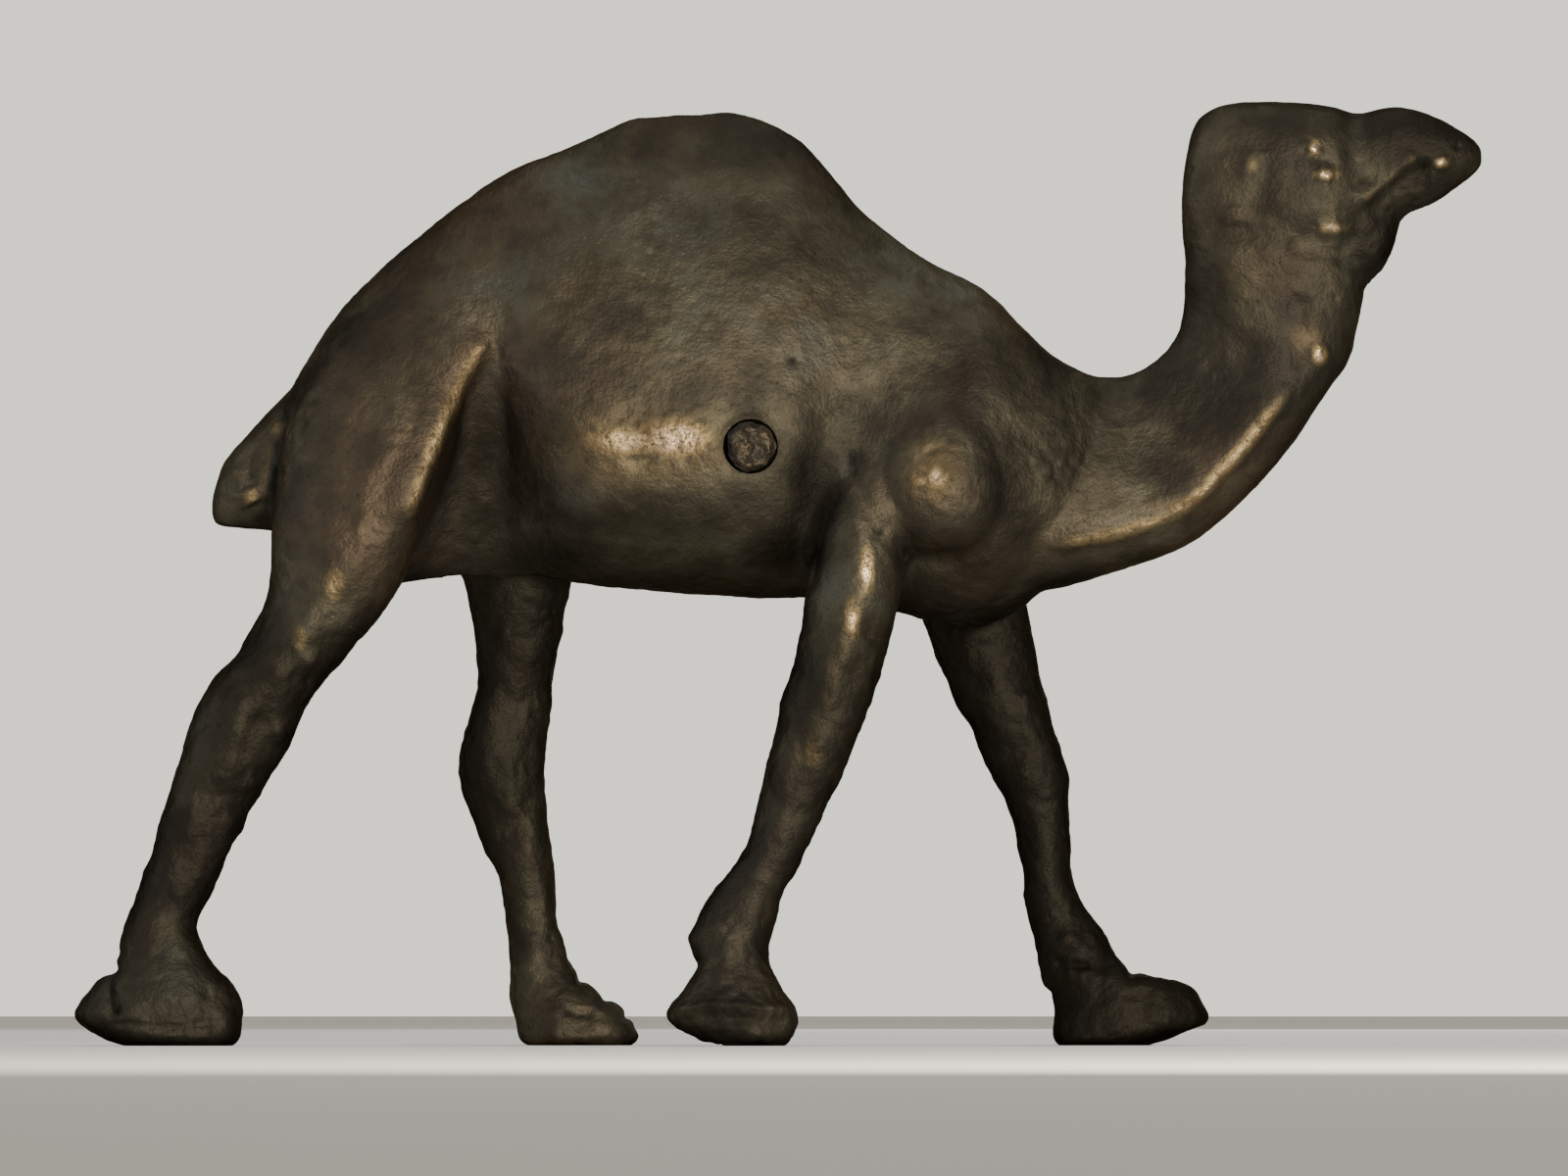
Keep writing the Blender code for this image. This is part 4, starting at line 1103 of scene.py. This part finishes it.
def layered(tree, shader, held, ground, layers):
    """Lays colour, roughness and metal over a ground, layer by layer. A layer's share is
    its strength times, for each number it goes by, that number's eased way from the value
    where the layer is absent to the value where it is full. The Mix node's sockets go by
    number, as its kinds share their names: 0 is the share, 2 and 3 are the values, and 6
    and 7 the colours."""
    hue, dull, metal = ground
    skin = rgba(getattr(colours(), hue))
    for hue, dull_here, metal_here, share, numbers in layers:
        for name, absent, full in numbers:
            inputs = {"Value": held[name], "From Min": absent, "From Max": full}
            way = add_node(tree, "ShaderNodeMapRange", inputs, interpolation_type="SMOOTHSTEP").outputs[0]
            share = add_node(tree, "ShaderNodeMath", {0: way, 1: share}, operation="MULTIPLY").outputs[0]
        laid = {0: share, 6: skin, 7: rgba(getattr(colours(), hue))}
        skin = add_node(tree, "ShaderNodeMix", laid, data_type="RGBA").outputs[2]
        dull = add_node(tree, "ShaderNodeMix", {0: share, 2: dull, 3: dull_here}).outputs[0]
        metal = add_node(tree, "ShaderNodeMix", {0: share, 2: metal, 3: metal_here}).outputs[0]
    tree.links.new(skin, shader.inputs["Base Color"])
    tree.links.new(dull, shader.inputs["Roughness"])
    tree.links.new(metal, shader.inputs["Metallic"])


def grained(tree, shader, fine, coarse, share, depth):
    """Bumps the surface by a fine noise plus a share of a coarser one."""
    height = add_node(tree, "ShaderNodeMath", {0: coarse, 1: share, 2: fine}, operation="MULTIPLY_ADD")
    inputs = {"Height": height.outputs[0], "Strength": 1.0, "Distance": depth}
    bump = add_node(tree, "ShaderNodeBump", inputs)
    tree.links.new(bump.outputs["Normal"], shader.inputs["Normal"])


# The casting's and the rod's layers: colour, roughness, metal, strength, and the numbers they go by.
CAST_LAYERS = [
    ("umber", 0.56, 1.0, 1.00, [("cloud", 0.62, 0.36)]),
    ("blush", 0.50, 1.0, 0.75, [("drift", 0.48, 0.70)]),
    ("umber", 0.60, 1.0, 0.50, [("mottle", 0.60, 0.35)]),
    ("bloom", 0.60, 0.9, 0.60, [("swell", -0.5, -6.0), ("mottle", 0.30, 0.62)]),
    ("bloom", 0.56, 0.9, 0.60, [("cloud", 0.50, 0.72), ("mottle", 0.30, 0.62)]),
    # Painted shade on undersides, between the legs, in the flank pocket, in the folds and under the belly,
    # with darker patina clouds.
    ("deep", 0.56, 1.0, 0.92, [("deep", 0.0, 1.0)]),
    # Copper and pale bronze: partly wear from hands, partly painted highlights and sheen.
    ("copper", 0.42, 1.0, 0.60, [("rubbed", 0.08, 0.45), ("fleck", 0.25, 0.55)]),
    ("copper", 0.38, 1.0, 0.80, [("rubbed", 0.30, 0.80), ("grit", 0.28, 0.52)]),
    ("brass", 0.30, 1.0, 0.95, [("rubbed", 0.42, 0.95), ("fleck", 0.36, 0.56), ("grit", 0.34, 0.52)]),
    ("deep", 0.70, 1.0, 0.55, [("grit", 0.46, 0.28), ("fleck", 0.56, 0.36)]),
    ("soot", 0.80, 0.4, 0.90, [("crest", -0.3, -2.2), ("fleck", 0.15, 0.50)]),
    ("soot", 0.80, 0.4, 0.35, [("rough", 0.2, 1.0), ("fleck", 0.30, 0.60)]),
]
ROD_LAYERS = [
    ("umber", 0.55, 1.0, 1.00, [("dents", 0.62, 0.36)]),
    ("deep", 0.70, 1.0, 0.60, [("grit", 0.50, 0.30)]),
]


@lru_cache(maxsize=1)
def patinated_cast_bronze():
    """Sand-cast tin bronze, oiled and darkened by age. The eye gets an olive-brown skin with a low satin
    gloss, painted shade on the undersides, between the legs, in the flank pocket and in the folds,
    grey-green bloom in the hollows, dirt in the grooves, and warm bright metal, broken up by the casting's
    grain, on the crests that hands touch and as painted highlights and sheen on the barrel, shoulder,
    throat, head and legs."""
    made, tree, shader = new_material("patinated_cast_bronze")
    noises = [("cloud", 16, 4, 0.6), ("drift", 23, 3, 0.5), ("mottle", 4.5, 5, 0.6)]
    noises += [("fleck", 1.5, 5, 0.62), ("grit", 0.42, 3, 0.6)]
    held = measured(tree, noises, MEASURES)
    layered(tree, shader, held, ("olive", 0.52, 1.0), CAST_LAYERS)
    grained(tree, shader, held["grit"], held["fleck"], 1.4, 0.10 * MM)
    shader.inputs["Specular Tint"].default_value = rgba(linear("#8c8577"))
    return made


@lru_cache(maxsize=1)
def hammered_rod_bronze():
    """Drawn bronze rod, its ends peened over. The eye gets a metal like the casting's, but
    browner and more even, dented by the hammer."""
    made, tree, shader = new_material("hammered_rod_bronze")
    held = measured(tree, [("dents", 1.5, 3, 0.6), ("grit", 0.4, 3, 0.6)], ())
    layered(tree, shader, held, ("rod", 0.40, 1.0), ROD_LAYERS)
    grained(tree, shader, held["grit"], held["dents"], 2.4, 0.12 * MM)
    return made


@lru_cache(maxsize=1)
def sprayed_matt_board():
    """Board sprayed with matt paint. The eye gets a plain pale ground without gloss."""
    made, _, shader = new_material("sprayed_matt_board")
    shader.inputs["Base Color"].default_value = rgba(colours().pale)
    shader.inputs["Roughness"].default_value = 0.75
    return made


# Pieces -----------------------------------------------------------------------------


class DROMEDARY_OT_trunk(bpy.types.Operator):
    """Make the hollow trunk as two shells that meet on the middle plane"""

    bl_idname = "dromedary.trunk"
    bl_label = "Trunk shells"

    def execute(self, context):
        regions = [leg_region(name) for name in LEG_NAMES] + [neck_region(), tail_region()]
        core = trunk_core()
        holes = [bore(node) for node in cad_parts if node.startswith("dowel_") or node == "tie_rivet"]
        cuts = [("DIFFERENCE", cutter) for cutter in regions + [core] + holes]
        for hand, side in (("right", -1), ("left", 1)):
            half = block("half_" + hand, half_space(side))
            cast_piece("trunk_" + hand, "trunk", "trunk_shell_" + hand, ("INTERSECT", half), *cuts)
            drop(half)
        drop(core, *regions, *holes)
        return {"FINISHED"}


def half_space(side):
    """The corners of a box from the middle plane to past one flank."""
    far = PAST_THE_FIGURE
    middle = [(-far, 0.0, -far), (far, 0.0, -far), (far, 0.0, far), (-far, 0.0, far)]
    return [middle, [(x, side * PAST_THE_FLANK, z) for x, _, z in middle]]


def trunk_core():
    """The core that the trunk is cast round, with metal left round each pin."""
    wall = sizes().wall / MM
    core = mesh_of("core", [figure_scale(upright_rings(TRUNK[CORED], 60, 48, wall))])
    bosses = []
    for node in ("tie_rivet", "dowel_rump", "dowel_breast", "dowel_neck", "dowel_tail"):
        centre, axis, radius, length = pin_of(node)
        boss = rod_rings(centre, axis, radius + BOSS_WALL, length + BOSS_EXTRA)
        bosses.append(mesh_of("boss_" + node, [boss]))
    cored = carved(core, "trunk_core", *[("DIFFERENCE", boss) for boss in bosses])
    drop(core, *bosses)
    return cored


class DROMEDARY_OT_neck(bpy.types.Operator):
    """Make the neck and head, cast in one"""

    bl_idname = "dromedary.neck_and_head"
    bl_label = "Neck and head"

    def execute(self, context):
        limb_piece("neck_with_head", "neck_and_head", "neck_and_head", neck_region(), "dowel_neck")
        return {"FINISHED"}


class DROMEDARY_OT_legs(bpy.types.Operator):
    """Make the four legs below their saw cuts"""

    bl_idname = "dromedary.legs"
    bl_label = "Legs"

    def execute(self, context):
        for name in LEG_NAMES:
            limb_piece(name + "_cast", "leg", name, leg_region(name), "dowel_" + name)
        return {"FINISHED"}


class DROMEDARY_OT_tail(bpy.types.Operator):
    """Make the tail that lies against the rump"""

    bl_idname = "dromedary.tail"
    bl_label = "Tail"

    def execute(self, context):
        limb_piece("tail_cast", "tail", "tail", tail_region(), "dowel_tail")
        return {"FINISHED"}


def hammered_rod():
    """The rivet's rings: a bar that fills its bore, except for the last millimetre at each
    end, where the radius wavers by a few hundredths and noise dents the face."""
    centre, _, radius, length = pin_of("tie_rivet")
    half, steps = length / 2, 26
    face = np.linspace(0.04, 1.0, steps)
    shank = np.array((-half + 0.9 * MM, -half + 1.3 * MM, half - 1.3 * MM, half - 0.9 * MM))
    share = np.concatenate([face, np.ones(4), face[::-1]])[:, None]
    along = np.concatenate([np.full(steps, -half), shank, np.full(steps, half)])[:, None]
    end = np.concatenate([np.full(steps, -1.0), np.zeros(4), np.full(steps, 1.0)])[:, None]
    fit = (np.abs(along) < half - 1.0 * MM).astype(float)
    u = turns(96)
    waver = 0.94 + 0.040 * np.sin(3 * u + 0.7) + 0.022 * np.sin(7 * u + 2.0) + 0.014 * np.sin(13 * u)
    reach = share * (radius * waver * (1 - fit) + (radius + PIN_CLEARANCE) * fit)
    ring = (centre[0] + reach * np.cos(u), centre[1] + along + 0 * u, centre[2] + reach * np.sin(u))
    rings = np.stack(ring, axis=-1)
    flat = rings.reshape(-1, 3)
    dents = waves(flat, 1.1 * MM, 31) + 0.8 * waves(flat, 0.5 * MM, 32)
    bevel = -0.4 * MM * np.clip(share - 0.8, 0, 1) / 0.2
    rings[..., 1] += end * (0.16 * MM * dents.reshape(len(share), -1) + bevel)
    return rings


class DROMEDARY_OT_rivet(bpy.types.Operator):
    """Make the tie rivet that clamps the trunk's shells, its ends hammered in the flanks"""

    bl_idname = "dromedary.rivet"
    bl_label = "Tie rivet"

    def execute(self, context):
        piece = mesh_of("hammered_tie_rivet", [hammered_rod()])
        finish_piece(piece, hammered_rod_bronze(), "tie_rivet")
        return {"FINISHED"}


class DROMEDARY_OT_dowels(bpy.types.Operator):
    """Give the dowels inside the joints their metal"""

    bl_idname = "dromedary.dowels"
    bl_label = "Dowels"

    def execute(self, context):
        for name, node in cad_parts.items():
            if name.startswith("dowel_"):
                for slot in node.material_slots:
                    slot.material = hammered_rod_bronze()
        return {"FINISHED"}


# Stage ------------------------------------------------------------------------------

# Floor: radii of its rings, from the middle out, and its thickness.
FLOOR_RADII = (0.02, 0.4, 1.2, 3.0)
FLOOR_THICKNESS = 2 * MM
# World: its strength as a light, and how much is added to that where the camera sees it.
WORLD_LIGHT = 0.80
WORLD_SEEN = 1.2
# Camera: what it aims at, from the middle of the frame, and the picture's width in lengths
# of the figure.
AIM = (0.8 * MM, 0.0, -1.5 * MM)
PICTURE_WIDTH = 1.12
# Lights: name, where it stands, size, power in watts and colour. All face one point.
LIT_POINT = (0.0, 0.0, 60 * MM)
LIGHTS = [
    ("key_window", (0.25, -0.78, 0.18), 0.18, 5.6, "#fff4e4"),
    ("top_softbox", (0.05, 0.10, 0.90), 0.70, 2.4, "#f2f5ff"),
    ("back_fill", (0.30, 0.90, 0.35), 0.70, 2.0, "#f0f2ff"),
    ("left_fill", (-0.80, -0.30, 0.35), 0.40, 1.4, "#e8eeff"),
]


class DROMEDARY_OT_stage(bpy.types.Operator):
    """Set the figure on a plain pale floor under soft light, and place the camera"""

    bl_idname = "dromedary.stage"
    bl_label = "Stage"

    def execute(self, context):
        floor()
        surroundings()
        for light in LIGHTS:
            soft_light(*light)
        camera()
        return {"FINISHED"}


def floor():
    """A wide disc under the figure."""
    radius = np.array(FLOOR_RADII)[:, None]
    u = turns(64)
    top = np.stack([radius * np.cos(u), radius * np.sin(u), 0 * radius * u], axis=-1)
    under = top[::-1] - np.array((0, 0, FLOOR_THICKNESS))
    disc = mesh_of("floor", [np.concatenate([top, under])])
    disc.data.materials.append(sprayed_matt_board())
    disc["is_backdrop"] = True


def soft_light(name, place, size, power, code):
    """A square area light that faces the lit point."""
    data = bpy.data.lights.new(name, "AREA")
    data.size = size
    data.energy = power
    data.color = linear(code)
    made = bpy.data.objects.new(name, data)
    made.location = place
    aim(made, LIT_POINT)
    bpy.context.scene.collection.objects.link(made)


def aim(thing, target):
    """Turns a light or a camera so that it looks at a point, upright."""
    away = mathutils.Vector(target) - thing.location
    thing.rotation_mode = "QUATERNION"
    thing.rotation_quaternion = away.to_track_quat("-Z", "Y")


def surroundings():
    """A pale, even world, dimmer as a light than it looks to the camera."""
    world = bpy.data.worlds.new("pale_air")
    world.use_nodes = True
    bpy.context.scene.world = world
    tree = world.node_tree
    seen = add_node(tree, "ShaderNodeLightPath").outputs["Is Camera Ray"]
    numbers = {0: seen, 1: WORLD_SEEN, 2: WORLD_LIGHT}
    strength = add_node(tree, "ShaderNodeMath", numbers, operation="MULTIPLY_ADD")
    backdrop = tree.nodes["Background"]
    backdrop.inputs["Color"].default_value = rgba(colours().air)
    tree.links.new(strength.outputs[0], backdrop.inputs["Strength"])


def camera():
    """A long lens, low over the floor, square to the right flank."""
    data = bpy.data.cameras.new("camera")
    made = bpy.data.objects.new("camera", data)
    target = (CAD_LOW + CAD_HIGH) / 2 + np.array(AIM)
    made.location = (target[0], -sizes().camera_distance, sizes().camera_height)
    aim(made, target)
    reach = math.dist(made.location, target)
    data.lens = data.sensor_width * reach / (PICTURE_WIDTH * (CAD_HIGH - CAD_LOW)[0])
    data.clip_start, data.clip_end = 0.01, 20.0
    bpy.context.scene.collection.objects.link(made)
    bpy.context.scene.camera = made


class DROMEDARY_PT_panel(bpy.types.Panel):
    """The figure's pieces, in the order in which they are made"""

    bl_label = "Dromedary"
    bl_idname = "DROMEDARY_PT_panel"
    bl_space_type = "VIEW_3D"
    bl_region_type = "UI"
    bl_category = "Dromedary"

    def draw(self, context):
        for group in (context.scene.dromedary_sizes, context.scene.dromedary_colours):
            for key in type(group).__annotations__:
                self.layout.prop(group, key)
        for operator in OPERATORS:
            self.layout.operator(operator.bl_idname)


OPERATORS = (
    DROMEDARY_OT_trunk,
    DROMEDARY_OT_neck,
    DROMEDARY_OT_legs,
    DROMEDARY_OT_tail,
    DROMEDARY_OT_rivet,
    DROMEDARY_OT_dowels,
    DROMEDARY_OT_stage,
)
CLASSES = (DromedarySizes, DromedaryColours, *OPERATORS, DROMEDARY_PT_panel)


def register():
    """Makes the classes and the two groups of settings known."""
    for kind in CLASSES:
        bpy.utils.register_class(kind)
    bpy.types.Scene.dromedary_sizes = bpy.props.PointerProperty(type=DromedarySizes)
    bpy.types.Scene.dromedary_colours = bpy.props.PointerProperty(type=DromedaryColours)


def unregister():
    """Takes back all that register does."""
    del bpy.types.Scene.dromedary_colours
    del bpy.types.Scene.dromedary_sizes
    for kind in reversed(CLASSES):
        bpy.utils.unregister_class(kind)


def main():
    """Makes everything, in order."""
    register()
    for operator in OPERATORS:
        family, name = operator.bl_idname.split(".")
        getattr(getattr(bpy.ops, family), name)()
    drop(body())


if __name__ == "__main__":
    main()
